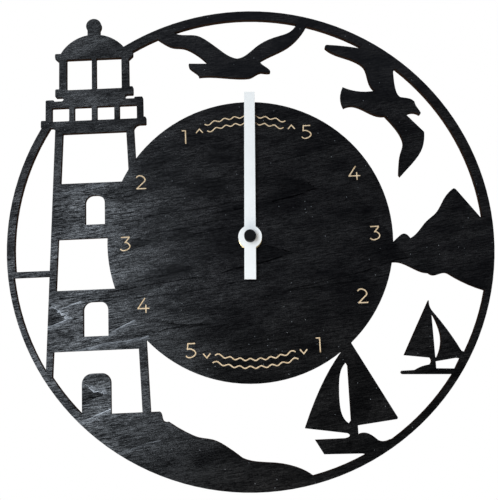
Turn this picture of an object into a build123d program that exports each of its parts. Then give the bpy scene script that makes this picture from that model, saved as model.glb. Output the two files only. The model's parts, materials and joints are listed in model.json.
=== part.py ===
from build123d import *
import os
from math import atan2, cos, degrees, radians, sin, sqrt

# Wall tide clock: a fretwork plywood panel on a quartz movement with one hand.
# Bench frame: x right, y up, z off the wall towards the viewer, hand arbor at x = y = 0, wall at z = 0.
# The finished pieces are stood up with +Z up and the dial facing -Y, hanger hole at the origin.

# Panel sheet
ring_radius = 150.0
ring_band = 4.7
sky_band = 5.9
sea_band = 3.9
crescent_band = 3.3
crescent_foot_angle = 211.0
figure_inset = 5.2
figure_unit = 1.0
dial_radius = 88.0
panel_thickness = 3.0
panel_hole_clearance = 0.2

# Engraving
engraving_depth = 0.3
engraving_stroke = 0.8
numeral_radius = 77.0
numeral_height = 9.0
numeral_step = 30.0
wave_radius = 76.0
wave_row_spacing = 4.6
wave_height = 1.3
wave_length = 6.6
wave_span = 38.0
arrow_angle = 22.5
arrow_width = 4.4
arrow_rise = 2.6
high_water_angle = 90.0
low_water_angle = 270.0

# Lighthouse
gallery_angle = 148.8
gallery_half_width = 32.8
gallery_left_reach = 1.2
gallery_rise = 3.7
gallery_drop = 1.3
corbel_radius = 4.0
left_corbel_radius = 2.4
fret_corner = 0.8
pane_corner = 0.5
tower_top_half_width = 24.8
tower_foot_half_width = 32.1
tower_left_trim = 1.1
tower_wall = 4.8
tower_ceiling = 5.4
upper_opening_height = 32.7
upper_wall_height = 35.2
middle_opening_height = 31.8
lower_wall_height = 36.9
upper_window_width = 12.2
upper_window_height = 18.6
lower_window_width = 15.2
lower_window_height = 20.7
window_corner = 5.0
window_sill_height = 8.6
door_width = 17.2
door_height = 24.0
door_corner = 6.0
spar_thickness = 3.6
spar_level = -94.2
railing_half_width = 31.0
railing_top = 16.2
railing_post = 5.4
railing_post_rise = 1.0
railing_opening_width = 11.1
railing_opening_height = 9.1
railing_opening_drop = 0.9
railing_pitch = 14.35
railing_count = 4
lantern_base_half_width = 19.6
lantern_sill_level = 19.0
lantern_sill_half_width = 24.9
lantern_sill_height = 5.4
lantern_half_width = 22.4
lantern_window_height = 20.7
lantern_window_sill = 0.9
lantern_mullion = 2.8
lantern_post = 4.7
eave_half_width = 25.1
eave_height = 4.2
roof_half_width = 21.4
roof_rise = 12.3
finial_neck_width = 8.0
finial_neck_height = 6.0
finial_radius = 4.9
ring_end_overlap = 1.2
ring_end_inset = 9.0
ring_end_rise = 1.0

# Shore, gulls and boats round the ring
shore_height = 43.0
shore_ledge = 58.3
side_gull_angle = 50.0
large_boat_angle = -62.0
masthead_angle = -51.0
masthead_right_angle = -48.9
masthead_left_angle = -53.6
sail_slit_drop = 7.2
sail_slit_direction = -76.0
sail_slit_shoulder = 2.0
small_boat_angle = -35.0

# Hand and the parts at the centre of the dial
hand_tip_length = 92.5
hand_tail_length = 26.0
hand_tail_width = 7.1
hand_tip_width = 6.6
hand_thickness = 0.8
hand_hub_radius = 7.2
hand_rest_angle = 2.2
hand_stand_off = 5.0
hand_bush_flange_radius = 4.6
hand_bush_barrel_radius = 3.2
hand_bush_flange = 0.9
cap_radius = 3.55
cap_height = 6.2
cap_chamfer = 0.5
cap_seat_depth = 1.55
washer_radius = 7.2
washer_thickness = 0.6
nut_across_flats = 11.0
nut_thickness = 2.2
thread_radius = 4.0
thread_stand_off = 4.0
bushing_flange_radius = 5.5
bushing_flange = 0.8
bushing_seat_radius = 4.6
gasket_radius = 14.0
gasket_thickness = 1.0

# Movement case
case_room = 0.6
case_wall = 1.3
case_front_wall = 1.2
case_corner = 3.0
rear_cover_thickness = 1.4
middle_plate_gap = 0.3
middle_plate_thickness = 1.2
post_radius = 1.6
post_inset = 2.3
latch_width = 8.0
latch_reach = 0.8
latch_height = 0.8
hanger_width = 22.0
hanger_height = 15.0
hanger_thickness = 2.4
hanger_hole_radius = 4.0
hanger_hole_level = 6.0
hanger_slot_width = 4.0
hanger_slot_length = 6.5

# Cell and its bay
cell_radius = 7.25
cell_length = 49.5
cell_nub_radius = 2.75
cell_nub_height = 1.0
cell_clearance = 0.25
cell_end_room = 1.45
cell_back_room = 0.3
bay_wall = 1.2
bay_end_gap = 0.9
contact_thickness = 0.4
contact_width = 10.0
contact_height = 9.0
contact_dimple_radius = 2.4
contact_foot_width = 1.6
contact_strip_height = 2.5
contact_clearance = 0.15

# Motion work, the gears that turn the hand
motion_module = 0.35
cannon_teeth = 15
minute_teeth = 45
minute_pinion_teeth = 12
hour_teeth = 48
knob_teeth = 15
minute_direction = 20.0
knob_direction = 30.0
hour_tube_radius = 2.5
hour_tube_wall = 0.94
cannon_rear_radius = 0.75
cannon_height = 1.6
motion_gap = 0.6
minute_wheel_thickness = 1.2
hour_wheel_thickness = 1.2
hour_wheel_rise = 1.8
hour_wheel_gap = 1.0
knob_radius = 5.4
knob_thickness = 2.6
knob_recess = 0.4
knob_stem_radius = 1.5
knob_grips = 12
knob_grip_radius = 0.6
knob_well_wall = 1.1

# Going train, from the stepping motor to the centre wheel
going_module = 0.2
rotor_teeth = 12
fifth_teeth = 60
fifth_pinion_teeth = 10
fourth_teeth = 60
fourth_pinion_teeth = 10
third_teeth = 75
third_pinion_teeth = 10
centre_teeth = 80
third_direction = 160.0
fourth_direction = 100.0
fifth_direction = 10.0
rotor_direction = 5.0
arbor_radius = 0.5
wheel_thickness = 0.8
layer_pitch = 1.6
first_wheel_gap = 0.8
pinion_overhang = 0.2
centre_hub_radius = 1.6
centre_hub_height = 0.5
friction_spring_radius = 2.2
friction_spring_thickness = 0.3

# Stepping motor and circuit
magnet_radius = 3.0
magnet_height = 3.0
rotor_gap = 0.5
stator_ring = 1.7
stator_thickness = 0.8
stator_arm = 2.4
coil_length = 11.0
coil_rise = 9.1
coil_top_room = 1.2
coil_front_room = 0.2
coil_radius = 2.9
bobbin_wall = 0.5
bobbin_flange = 0.7
bobbin_flange_rim = 0.2
board_width = 13.6
board_height = 9.6
board_thickness = 1.0
board_side_room = 4.6
board_top_room = 1.6
board_gap = 1.2
board_post_share = 0.25
board_stand_off = 1.6
board_post_radius = 1.0
chip_size = 4.0
chip_height = 1.2
chip_margin = 1.0
crystal_radius = 1.0
crystal_length = 6.0
crystal_gap = 0.3

# Clearances
running_clearance = 0.05
fit_clearance = 0.02
cover_clearance = 0.15

# Gear tooth form, in modules and in shares of the tooth pitch
addendum = 0.85
dedendum = 1.15
tooth_tip_share = 0.12
tooth_root_share = 0.27

# Levels off the wall: going train, one layer for each wheel
arbor_low = rear_cover_thickness / 2
fifth_level = rear_cover_thickness + first_wheel_gap
fourth_level = fifth_level + layer_pitch
third_level = fourth_level + layer_pitch
centre_level = third_level + layer_pitch
centre_top = centre_level + wheel_thickness
magnet_level = fourth_level
coil_axis_level = magnet_level + magnet_height / 2
bobbin_flange_radius = coil_radius + bobbin_flange_rim
coil_front = coil_axis_level + bobbin_flange_radius
middle_plate_level = max(centre_top + centre_hub_height + middle_plate_gap, coil_front + coil_front_room)
middle_plate_front = middle_plate_level + middle_plate_thickness
arbor_high = middle_plate_level + middle_plate_thickness / 2

# Levels of the motion work
cannon_level = middle_plate_front + motion_gap
cannon_top = cannon_level + cannon_height
minute_level = cannon_level + (cannon_height - minute_wheel_thickness) / 2
minute_top = minute_level + minute_wheel_thickness
hour_level = minute_top + hour_wheel_rise
hour_top = hour_level + hour_wheel_thickness

# Levels of the case, which is as deep as the wheels and the cell need, and of what it carries
cell_depth = 2 * (cell_radius + cell_clearance) + cell_back_room
case_front_inside = max(hour_top + hour_wheel_gap, cell_depth)
case_depth = case_front_inside + case_front_wall
minute_arbor_low = middle_plate_level + middle_plate_thickness / 3
minute_arbor_high = case_front_inside + case_front_wall / 2
panel_back = case_depth + gasket_thickness
panel_face = panel_back + panel_thickness
washer_face = panel_face + washer_thickness
nut_face = washer_face + nut_thickness
thread_end = panel_face + thread_stand_off
hand_back = panel_face + hand_stand_off
hand_face = hand_back + hand_thickness
hour_tube_end = hand_face + cap_seat_depth
cap_top = hand_face + cap_height

# Circles of the panel
figure_circle = ring_radius - figure_inset
ring_middle = ring_radius - ring_band / 2


def polar(radius, angle):
    return (radius * cos(radians(angle)), radius * sin(radians(angle)))


def step_from(place, distance, direction):
    dx, dy = polar(distance, direction)
    return (place[0] + dx, place[1] + dy)


def prism(sketch, low, high):
    return Pos(0, 0, low) * extrude(sketch, amount=high - low)


def disc(radius, low, high, place=(0, 0)):
    return prism(Pos(place[0], place[1]) * Circle(radius), low, high)


def tube(outer, inner, low, high, place=(0, 0)):
    return prism(Pos(place[0], place[1]) * (Circle(outer) - Circle(inner)), low, high)


def slab(x_low, x_high, y_low, y_high):
    middle = Pos((x_low + x_high) / 2, (y_low + y_high) / 2)
    return middle * Rectangle(x_high - x_low, y_high - y_low)


def rounded_slab(x_low, x_high, y_low, y_high, corner):
    middle = Pos((x_low + x_high) / 2, (y_low + y_high) / 2)
    return middle * RectangleRounded(x_high - x_low, y_high - y_low, corner)


def block(x_low, x_high, y_low, y_high, z_low, z_high):
    return prism(slab(x_low, x_high, y_low, y_high), z_low, z_high)


def outline(start, *runs):
    """Closed face: each run is one straight edge or, with more points, one smooth curve."""
    edges = []
    here = start
    for run in runs:
        edges.append(Line(here, run[0]) if len(run) == 1 else Spline(here, *run))
        here = run[-1]
    if here != start:
        edges.append(Line(here, start))
    return make_face(edges)


def shifted(place, *points):
    """Outline points, counted in figure units from a place on the panel."""
    return [(place[0] + figure_unit * x, place[1] + figure_unit * y) for x, y in points]


def arch(width, height, corner):
    """Opening with a level foot on y = 0 and a rounded head."""
    face = Pos(0, height / 2) * Rectangle(width, height)
    return fillet(face.vertices().sort_by(Axis.Y)[-2:], corner)


# Panel: lighthouse. Points are measured from the tower's axis and the gallery's level.
gallery_end = polar(ring_radius, gallery_angle)
tower_x = gallery_end[0] + gallery_half_width
gallery_y = gallery_end[1]
shore_top = shore_height - figure_circle
lantern_floor = gallery_y + lantern_sill_level + lantern_sill_height
eave_level = lantern_floor + lantern_window_height - lantern_window_sill
roof_level = eave_level + eave_height
ring_end_angle = degrees(atan2(roof_level + ring_end_rise, tower_x + eave_half_width - ring_end_inset))


def tower_half_width(level, trim=0.0):
    """Half the tower's width at a height on the panel; it widens evenly down to the shore."""
    top = gallery_y - gallery_drop
    share = (top - level) / (top - shore_top)
    return tower_top_half_width + share * (tower_foot_half_width - trim - tower_top_half_width)


def tower_stretch(high, low, inset, left_trim=0.0):
    """Part of the tower's outline between two levels, drawn in by a wall on each side."""
    corners = [(tower_half_width(level) - inset, level) for level in (low, high)]
    corners += [(inset - tower_half_width(level, left_trim), level) for level in (high, low)]
    return Pos(tower_x, 0) * make_face(Polyline(*corners, close=True))


def tower():
    top = gallery_y - gallery_drop
    upper_top = gallery_y - tower_ceiling
    upper_low = upper_top - upper_opening_height
    middle_top = upper_low - upper_wall_height
    middle_low = middle_top - middle_opening_height
    lower_top = middle_low - lower_wall_height
    upper_sill = middle_top + window_sill_height
    lower_sill = lower_top + window_sill_height
    plan = tower_stretch(top, shore_top - ring_band, 0, tower_left_trim)
    for high, low in ((upper_top, upper_low), (middle_top, middle_low)):
        plan -= fillet(tower_stretch(high, low, tower_wall).vertices(), pane_corner)
    plan -= tower_stretch(lower_top, shore_top, tower_wall)
    plan -= Pos(tower_x, upper_sill) * arch(upper_window_width, upper_window_height, window_corner)
    plan -= Pos(tower_x, lower_sill) * arch(lower_window_width, lower_window_height, window_corner)
    plan += Pos(tower_x, shore_top) * arch(door_width, door_height, door_corner)
    return plan & Circle(ring_radius)


def gallery():
    """Gallery slab with its corbel, railing and end posts."""
    low = gallery_y - gallery_drop
    high = gallery_y + gallery_rise
    rail = gallery_y + railing_top
    post_top = rail + railing_post_rise
    left = tower_x - gallery_half_width - gallery_left_reach
    plan = rounded_slab(left, tower_x + gallery_half_width, low, high, fret_corner)
    for side, radius in ((-1, left_corbel_radius), (1, corbel_radius)):
        corbel_x = tower_x + side * tower_half_width(low)
        corbel = slab(corbel_x - radius, corbel_x + radius, low - radius, low)
        plan += corbel - Pos(corbel_x + side * radius, low - radius) * Circle(radius)
    plan += slab(tower_x - railing_half_width, tower_x + railing_half_width, high, rail)
    for side in (-1, 1):
        ends = [tower_x + side * (railing_half_width - inset) for inset in (0, railing_post)]
        plan += rounded_slab(min(ends), max(ends), high - fret_corner, post_top, fret_corner)
    for index in range(railing_count):
        middle = tower_x + (index - (railing_count - 1) / 2) * railing_pitch
        opening = Pos(middle, high - railing_opening_drop + railing_opening_height / 2)
        plan -= opening * RectangleRounded(railing_opening_width, railing_opening_height, pane_corner)
    return plan


def lantern():
    """Lantern room on its sill, with the eaves, domed roof and ball finial."""
    rail = gallery_y + railing_top
    sill = gallery_y + lantern_sill_level
    eave_low = eave_level + eave_height / 4
    bracket_low = eave_level - eave_height / 3
    window_low = lantern_floor - lantern_window_sill
    slot_radius = (sill - rail) / 2
    base_half = lantern_base_half_width + slot_radius
    plan = slab(tower_x - base_half, tower_x + base_half, rail, sill)
    for side in (-1, 1):
        plan -= Pos(tower_x + side * base_half, rail + slot_radius) * Circle(slot_radius)
    ledges = [(lantern_sill_half_width, sill, lantern_floor), (eave_half_width, eave_low, roof_level)]
    for half, low, high in ledges:
        plan += rounded_slab(tower_x - half, tower_x + half, low, high, fret_corner)
    plan += slab(tower_x - lantern_half_width, tower_x + lantern_half_width, lantern_floor, roof_level)
    for side in (-1, 1):
        mullion = tower_x + side * lantern_mullion / 2
        inner = tower_x + side * (lantern_half_width - lantern_post)
        wall = tower_x + side * lantern_half_width
        outer = tower_x + side * eave_half_width
        pane = rounded_slab(min(mullion, inner), max(mullion, inner), window_low, eave_level, pane_corner)
        plan -= pane
        bracket = [(outer, eave_low), (inner, eave_low), (inner, bracket_low), (wall, bracket_low)]
        plan += make_face(Polyline(*bracket, close=True))
    crown = roof_level + roof_rise
    spring_left = (tower_x - roof_half_width, roof_level)
    spring_right = (tower_x + roof_half_width, roof_level)
    dome = [ThreePointArc(spring_left, (tower_x, crown), spring_right), Line(spring_right, spring_left)]
    plan += make_face(dome)
    neck_half = finial_neck_width / 2
    plan += slab(tower_x - neck_half, tower_x + neck_half, roof_level, crown + finial_neck_height)
    plan += Pos(tower_x, crown + finial_neck_height) * Circle(finial_radius)
    return plan


def spar():
    """Short beam from the ring to the tower's left side."""
    level = gallery_y + spar_level
    left = -sqrt(ring_middle**2 - level**2)
    right = tower_x - tower_half_width(level) + tower_wall / 2
    return slab(left, right, level - spar_thickness / 2, level + spar_thickness / 2)


def shore():
    """Rocky shore along the foot of the ring; points are measured from the figure circle's lowest point."""
    foot = (0, -figure_circle)
    left = (-sqrt(ring_middle**2 - shore_top**2), shore_top)
    ledge = [(foot[0] - shore_ledge, shore_top)]
    step = shifted(foot, (-57.2, 41.8), (-56.4, 38.5), (-53.0, 36.9))
    slope = shifted(foot, (-47.5, 33.2), (-40, 29), (-36, 27.3), (-27, 25.4), (-20, 21.8), (-10, 14.3))
    beach = shifted(foot, (-7, 13.1), (10, 10.7), (18, 9.0), (33, 0.8))
    below = foot[1] - 2 * ring_band
    land = outline(left, ledge, step, slope, beach, [(beach[-1][0], below)], [(left[0], below)])
    return land & Circle(ring_radius)


def top_gull():
    """Gull with both wings on the ring's top; points are measured from the figure circle's top."""
    place = (0, figure_circle)
    start = shifted(place, (-57, -9))[0]
    left_wing = shifted(place, (-50, -14.3), (-44.5, -17.1), (-38, -18), (-33, -20.2), (-22, -29.8))
    tail_top = shifted(place, (-34.2, -29.2))
    tail_end = shifted(place, (-34.6, -30.2), (-32.6, -33.4), (-28.3, -38.3))
    belly = shifted(place, (-19.7, -38.3), (-9, -39.6), (1.5, -40.4), (5.2, -39.9))
    breast = shifted(place, (8.8, -37.9), (11.3, -37.1))
    beak = shifted(place, (16.1, -37.6), (17.5, -37.2), (17.2, -35.8))
    face = shifted(place, (15.6, -34.2), (13, -32.2), (11.1, -29.6))
    right_wing = shifted(place, (19.2, -25.5), (29.3, -20.7), (35, -16.2), (43, -5.5))
    root = shifted(place, (37, -3))
    right_back = shifted(place, (30, -11.2), (22.3, -13.5), (9.6, -19.5), (-0.8, -26.7), (-3.3, -27.2))
    left_back = shifted(place, (-5.7, -26.5), (-15.1, -19.9), (-23.3, -13.2), (-28, -10.5), (-41, -8.8))
    left_root = shifted(place, (-46, -5))
    lower = [left_wing, tail_top, tail_end, belly + breast, beak, face, right_wing]
    return outline(start, *lower, root, right_back, left_back + left_root)


def side_gull():
    """Gull hanging from the ring's upper right; points are measured from where its back meets the ring."""
    place = polar(figure_circle, side_gull_angle)
    start = shifted(place, (-12.9, 12.3))[0]
    notch = shifted(place, (-17.6, 10.2))
    wing_top = shifted(place, (-32.9, 12.9), (-38.4, 13.5))
    wing_tip = shifted(place, (-39.5, 12.2), (-38.7, 10.8))
    wing_low = shifted(place, (-25.9, 4.1), (-18.9, 0.6), (-15.4, -2.7), (-13.9, -7.2), (-8.9, -19))
    tail_top = shifted(place, (-24.9, -17.8), (-29.9, -15.7))
    tail_end = shifted(place, (-31.6, -22.7), (-30.1, -29.5))
    belly = shifted(place, (-23.9, -28.5), (-12.9, -33.9), (-4.4, -36))
    low_wing = shifted(place, (4.6, -49.2), (5.8, -55.2), (3.9, -60.7), (2.3, -68.0), (1.5, -74.7))
    low_tip = shifted(place, (2.4, -76))
    low_edge = shifted(place, (12.1, -66.2), (17.4, -58.6), (19.2, -52.5), (19.6, -47.7))
    throat = shifted(place, (9.1, -35.8))
    chin = shifted(place, (12.2, -34.6), (16.5, -35.3))
    beak = shifted(place, (18.1, -35.9), (18.5, -34.9))
    brow = shifted(place, (17.4, -32.8), (15.9, -30.2), (15.2, -27.6))
    head = shifted(place, (13.3, -25.8), (10.1, -24.7), (6.4, -24))
    neck = shifted(place, (4.9, -22.3), (3.9, -19.3), (3.2, -13), (3.1, -6.7))
    root = shifted(place, (6.1, -2.2))
    upper = [notch, wing_top, wing_tip, wing_low, tail_top, tail_end, belly]
    lower = [low_wing, low_tip, low_edge, throat, chin, beak, brow, head, neck, root]
    return outline(start, *upper, *lower)


def island():
    """Island across the gap between dial and ring: points are shares of the gap, then figure units up."""
    gap = figure_circle - dial_radius

    def across(*points):
        return [(dial_radius + share * gap, figure_unit * height) for share, height in points]

    start = across((-0.1, -5.6))[0]
    hump = across((0.0, -5.8), (0.1, -1.4), (0.185, -4.2))
    slope = across((0.29, 0.3), (0.39, 6.6), (0.49, 11.0), (0.6, 20.2), (0.68, 25.2))
    peak = across((0.705, 25.9), (0.73, 25.0))
    fall = across((0.96, 7.2))
    ring_top = across((1.04, 5.0))
    ring_low = across((1.0, -39.4))
    low_slope = across((0.92, -37.9), (0.565, -27.2))
    low_bay = across((0.51, -26.5), (0.43, -27.6), (0.35, -26.2))
    low_hump = across((0.12, -20.6), (0.05, -19.0), (-0.04, -18.8))
    back = across((-0.1, -18.0))
    upper = [hump, slope, peak, fall, ring_top]
    lower = [ring_low, low_slope, low_bay, low_hump, back]
    return outline(start, *upper, *lower)


def large_boat():
    """Boat whose masthead is on the dial and whose hull is on the ring, measured from the hull's foot."""
    place = polar(figure_circle, large_boat_angle)
    head = polar(dial_radius - ring_band, masthead_angle)
    head_right = polar(dial_radius, masthead_right_angle)
    head_left = polar(dial_radius, masthead_left_angle)
    right_sail = shifted(place, (14.5, 16.9))
    right_foot = shifted(place, (14.1, 15.9), (-9.4, 13.3))
    mast = shifted(place, (-9.4, 7.9))
    deck = shifted(place, (-2.2, 7.7), (0.3, 6.0), (2.7, 4.0), (5.8, 3.4), (8.6, 4.1))
    ring_right = shifted(place, (12.0, 5.0))
    ring_left = shifted(place, (-2.5, -4.0))
    hull_low = shifted(place, (-7.9, -2.8))
    keel = shifted(place, (-30.2, -2.3))
    bow = shifted(place, (-35.0, 5.9))
    hull_top = shifted(place, (-17.0, 6.0))
    slot_end = shifted(place, (-14.2, 7.5), (-15.8, 9.1))
    left_foot = shifted(place, (-40.5, 12.9))
    left_sail = shifted(place, (-35.5, 24.6), (-29.8, 36.1)) + [head_left]
    sails = [[head_right], right_sail, right_foot[:1], right_foot[1:], mast, deck, ring_right]
    hull = [ring_left, hull_low, keel, bow, hull_top, slot_end, left_foot, left_sail]
    plan = outline(head, *sails, *hull)
    slit_top = step_from(head_left, sail_slit_drop, sail_slit_direction)
    slit_foot = shifted(place, (-14.3, 14.5))[0]
    slit_right = shifted(place, (-13.1, 16.0))[0]
    slit_left = shifted(place, (-17.0, 17.2), (-18.9, 22.5), (-19.3, 28.5), (-18.8, 38.8), (-16.7, 46.8))
    top_right = (slit_right[0], slit_top[1] - sail_slit_shoulder)
    return plan - outline(slit_top, [top_right], [slit_right], [slit_foot], slit_left + [slit_top])


def small_boat():
    """Boat standing on the ring at the right, measured from where its deck meets the ring."""
    place = polar(figure_circle, small_boat_angle)
    start = shifted(place, (2.6, -4.8))[0]
    keel = shifted(place, (-2.5, -4.3))
    stern = shifted(place, (-31.4, -3.1))
    stern_end = shifted(place, (-32.1, -2.1), (-31.4, -1.1))
    deck = shifted(place, (-23.6, -1.0))
    cabin = shifted(place, (-20.4, 0.5), (-14.4, 1.9))
    slot_end = shifted(place, (-13.4, 3.6), (-14.0, 5.9))
    left_foot = shifted(place, (-29.4, 8.0))
    left_sail = shifted(place, (-20.4, 24.9), (-12.1, 40.2))
    masthead = shifted(place, (-11.6, 35.6), (-10.2, 33.2))
    right_sail = shifted(place, (-1.4, 20.4), (4.8, 9.3))
    root = shifted(place, (6.4, 8.6))
    band = shifted(place, (8.6, 8.0))
    left = [keel, stern, stern_end, deck, cabin, slot_end, left_foot]
    plan = outline(start, *left, left_sail, masthead, right_sail, root, band)
    under_start = shifted(place, (-11.1, 3.6))[0]
    under_low = shifted(place, (-11.1, -0.5), (0.4, -1.1))
    under_right = shifted(place, (3.8, 4.7))
    under_top = shifted(place, (1.6, 5.2))
    plan -= outline(under_start, under_low[:1], under_low[1:], under_right, under_top)
    slit_start = shifted(place, (-11.2, 31.0))[0]
    slit_left = shifted(place, (-11.1, 6.0))
    slit_foot = shifted(place, (-9.9, 5.9))
    slit_right = shifted(place, (-7.6, 11.0), (-6.6, 17.0), (-7.9, 25.0), (-10.2, 31.2))
    return plan - outline(slit_start, slit_left, slit_foot, slit_right)


# Engraving. Numeral strokes are shares of the numeral's height, measured from its middle.
def numeral_lines(value):
    if value == 1:
        return [Line((-0.2, 0.46), (0.06, 0.46)), Line((0.06, 0.5), (0.06, -0.5))]
    if value == 2:
        arc = Spline((-0.32, 0.33), (-0.02, 0.47), (0.28, 0.22), (0.15, -0.03))
        return [arc, Line((0.15, -0.03), (-0.3, -0.46)), Line((-0.34, -0.45), (0.36, -0.45))]
    if value == 3:
        arc = Spline((-0.06, 0.07), (0.14, 0.05), (0.31, -0.19), (0.0, -0.46), (-0.34, -0.34))
        return [Line((-0.3, 0.45), (0.3, 0.45)), Line((0.29, 0.44), (-0.02, 0.07)), arc]
    if value == 4:
        bar = Line((-0.4, -0.2), (0.42, -0.2))
        return [Line((0.13, 0.5), (-0.36, -0.2)), bar, Line((0.18, 0.06), (0.18, -0.5))]
    arc = Spline((-0.26, 0.06), (0.02, 0.08), (0.31, -0.19), (0.0, -0.46), (-0.34, -0.34))
    return [Line((0.3, 0.45), (-0.24, 0.45)), Line((-0.2, 0.45), (-0.24, 0.04)), arc]


def numeral(value):
    strokes = [scale(line, by=numeral_height) for line in numeral_lines(value)]
    return trace(strokes, engraving_stroke)


def wave_row(radius, middle_angle):
    """One wave line along the dial's edge, two points to each crest and trough."""
    start = middle_angle - wave_span / 2
    arc_length = radians(wave_span) * wave_radius
    steps = 2 * round(arc_length / wave_length) + 1
    points = []
    for index in range(steps):
        rise = wave_height / 2 if index % 2 == 0 else -wave_height / 2
        points.append(polar(radius + rise, start + index * wave_span / (steps - 1)))
    return trace(Spline(*points), engraving_stroke)


def arrow(angle, points_up):
    """Chevron that points up or down, standing upright on the dial."""
    tip = arrow_rise / 2 if points_up else -arrow_rise / 2
    lines = [Line((-arrow_width / 2, -tip), (0, tip)), Line((0, tip), (arrow_width / 2, -tip))]
    place = polar(wave_radius, angle)
    return Pos(place[0], place[1]) * trace(lines, engraving_stroke)


def engraving():
    """Hours to and from high water, with a wave mark at high water and at low water."""
    marks = []
    for value in range(1, 6):
        for middle_angle in (high_water_angle, low_water_angle):
            place = polar(numeral_radius, middle_angle + value * numeral_step)
            marks.append(Pos(place[0], place[1]) * numeral(value))
    for middle_angle, points_up in ((high_water_angle, True), (low_water_angle, False)):
        for side in (-0.5, 0.5):
            marks.append(wave_row(wave_radius + side * wave_row_spacing, middle_angle))
        for side in (-1, 1):
            marks.append(arrow(middle_angle + side * arrow_angle, points_up))
    return marks


def ring_stretch(band, start, end):
    """Stretch of the ring between two angles, as wide as its band."""
    ends = [polar(3 * ring_radius, angle) for angle in (start, end)]
    sector = make_face(Polyline((0, 0), *ends, close=True))
    return (Circle(ring_radius) - Circle(ring_radius - band)) & sector


def ring():
    """Open ring from the gallery round to the roof, broader over the sky and finer by the sea."""
    spar_y = gallery_y + spar_level
    spar_angle = 360 + degrees(atan2(spar_y, -sqrt(ring_middle**2 - spar_y**2)))
    boat_angle = 360 + large_boat_angle
    plan = ring_stretch(ring_band, gallery_angle - ring_end_overlap, spar_angle)
    plan += ring_stretch(crescent_band, spar_angle, crescent_foot_angle)
    plan += ring_stretch(ring_band, crescent_foot_angle, boat_angle)
    plan += ring_stretch(sea_band, boat_angle, 360)
    plan += ring_stretch(sky_band, 0, ring_end_angle)
    return plan


def front_panel():
    plan = ring() + Circle(dial_radius)
    for figure in (tower(), gallery(), lantern(), spar(), shore()):
        plan += figure
    for figure in (top_gull(), side_gull(), island(), large_boat(), small_boat()):
        plan += figure & Circle(ring_radius)
    plan -= Circle(thread_radius + panel_hole_clearance)
    sheet = prism(plan, panel_back, panel_face)
    for mark in engraving():
        sheet -= prism(mark, panel_face - engraving_depth, panel_face + engraving_depth)
    return sheet


# Hand and centre fittings
def hand_blade():
    tail, tip = hand_tail_width / 2, hand_tip_width / 2
    low, high = -hand_tail_length, hand_tip_length
    bar = make_face(Polyline((-tail, low), (tail, low), (tip, high), (-tip, high), close=True))
    plan = bar + Circle(hand_hub_radius) - Circle(hand_bush_barrel_radius + fit_clearance)
    return Rot(0, 0, -hand_rest_angle) * prism(plan, hand_back, hand_face)


def hand_bush():
    bore = hour_tube_radius + fit_clearance
    flange = tube(hand_bush_flange_radius, bore, hand_back - hand_bush_flange, hand_back)
    return flange + tube(hand_bush_barrel_radius, bore, hand_back, hand_face)


def shaft_cap():
    body = disc(cap_radius, hand_face, cap_top)
    body = chamfer(body.edges().group_by(Axis.Z)[-1], cap_chamfer)
    return body - disc(hour_tube_radius + fit_clearance, hand_face, hour_tube_end + running_clearance)


def dial_washer():
    return tube(washer_radius, thread_radius + running_clearance, panel_face, washer_face)


def dial_nut():
    hexagon = RegularPolygon(nut_across_flats / 2, 6, major_radius=False)
    return prism(hexagon - Circle(thread_radius + running_clearance), washer_face, nut_face)


def threaded_bushing():
    flange_face = case_depth + bushing_flange
    body = disc(bushing_seat_radius, case_front_inside, case_depth)
    body += disc(bushing_flange_radius, case_depth, flange_face)
    body += disc(thread_radius, flange_face, thread_end)
    return body - disc(hour_tube_radius + running_clearance, case_front_inside, thread_end)


def rubber_gasket():
    return tube(gasket_radius, bushing_flange_radius + panel_hole_clearance, case_depth, panel_back)


# Gears
def gear(teeth, module, low, high, place, phase):
    """Toothed disc with one tooth centred on the phase angle."""
    pitch = 360 / teeth
    tip = module * (teeth / 2 + addendum)
    root = module * (teeth / 2 - dedendum)
    points = []
    for index in range(teeth):
        middle = phase + index * pitch
        points.append(polar(root, middle - tooth_root_share * pitch))
        points.append(polar(tip, middle - tooth_tip_share * pitch))
        points.append(polar(tip, middle + tooth_tip_share * pitch))
        points.append(polar(root, middle + tooth_root_share * pitch))
    plan = Pos(place[0], place[1]) * make_face(Polyline(*points, close=True))
    return prism(plan, low, high)


def spacing(module, teeth, mate_teeth):
    return module * (teeth + mate_teeth) / 2


def meshed(phase, teeth, direction, mate_teeth):
    """Phase of the mating gear, whose centre lies along the given direction."""
    return direction + 180 - (phase - direction) * teeth / mate_teeth + 180 / mate_teeth


# Places and phases of the motion work
arbor_place = (0.0, 0.0)
minute_place = step_from(arbor_place, spacing(motion_module, cannon_teeth, minute_teeth), minute_direction)
knob_place = step_from(minute_place, spacing(motion_module, minute_teeth, knob_teeth), knob_direction)
cannon_phase = 0.0
minute_phase = meshed(cannon_phase, cannon_teeth, minute_direction, minute_teeth)
knob_phase = meshed(minute_phase, minute_teeth, knob_direction, knob_teeth)
hour_phase = meshed(minute_phase, minute_pinion_teeth, minute_direction + 180, hour_teeth)

# Places and phases of the going train
centre_to_third = spacing(going_module, centre_teeth, third_pinion_teeth)
third_to_fourth = spacing(going_module, third_teeth, fourth_pinion_teeth)
fourth_to_fifth = spacing(going_module, fourth_teeth, fifth_pinion_teeth)
fifth_to_rotor = spacing(going_module, fifth_teeth, rotor_teeth)
third_place = step_from(arbor_place, centre_to_third, third_direction)
fourth_place = step_from(third_place, third_to_fourth, fourth_direction)
fifth_place = step_from(fourth_place, fourth_to_fifth, fifth_direction)
rotor_place = step_from(fifth_place, fifth_to_rotor, rotor_direction)
centre_phase = 0.0
third_phase = meshed(centre_phase, centre_teeth, third_direction, third_pinion_teeth)
fourth_phase = meshed(third_phase, third_teeth, fourth_direction, fourth_pinion_teeth)
fifth_phase = meshed(fourth_phase, fourth_teeth, fifth_direction, fifth_pinion_teeth)
rotor_phase = meshed(fifth_phase, fifth_teeth, rotor_direction, rotor_teeth)

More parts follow.
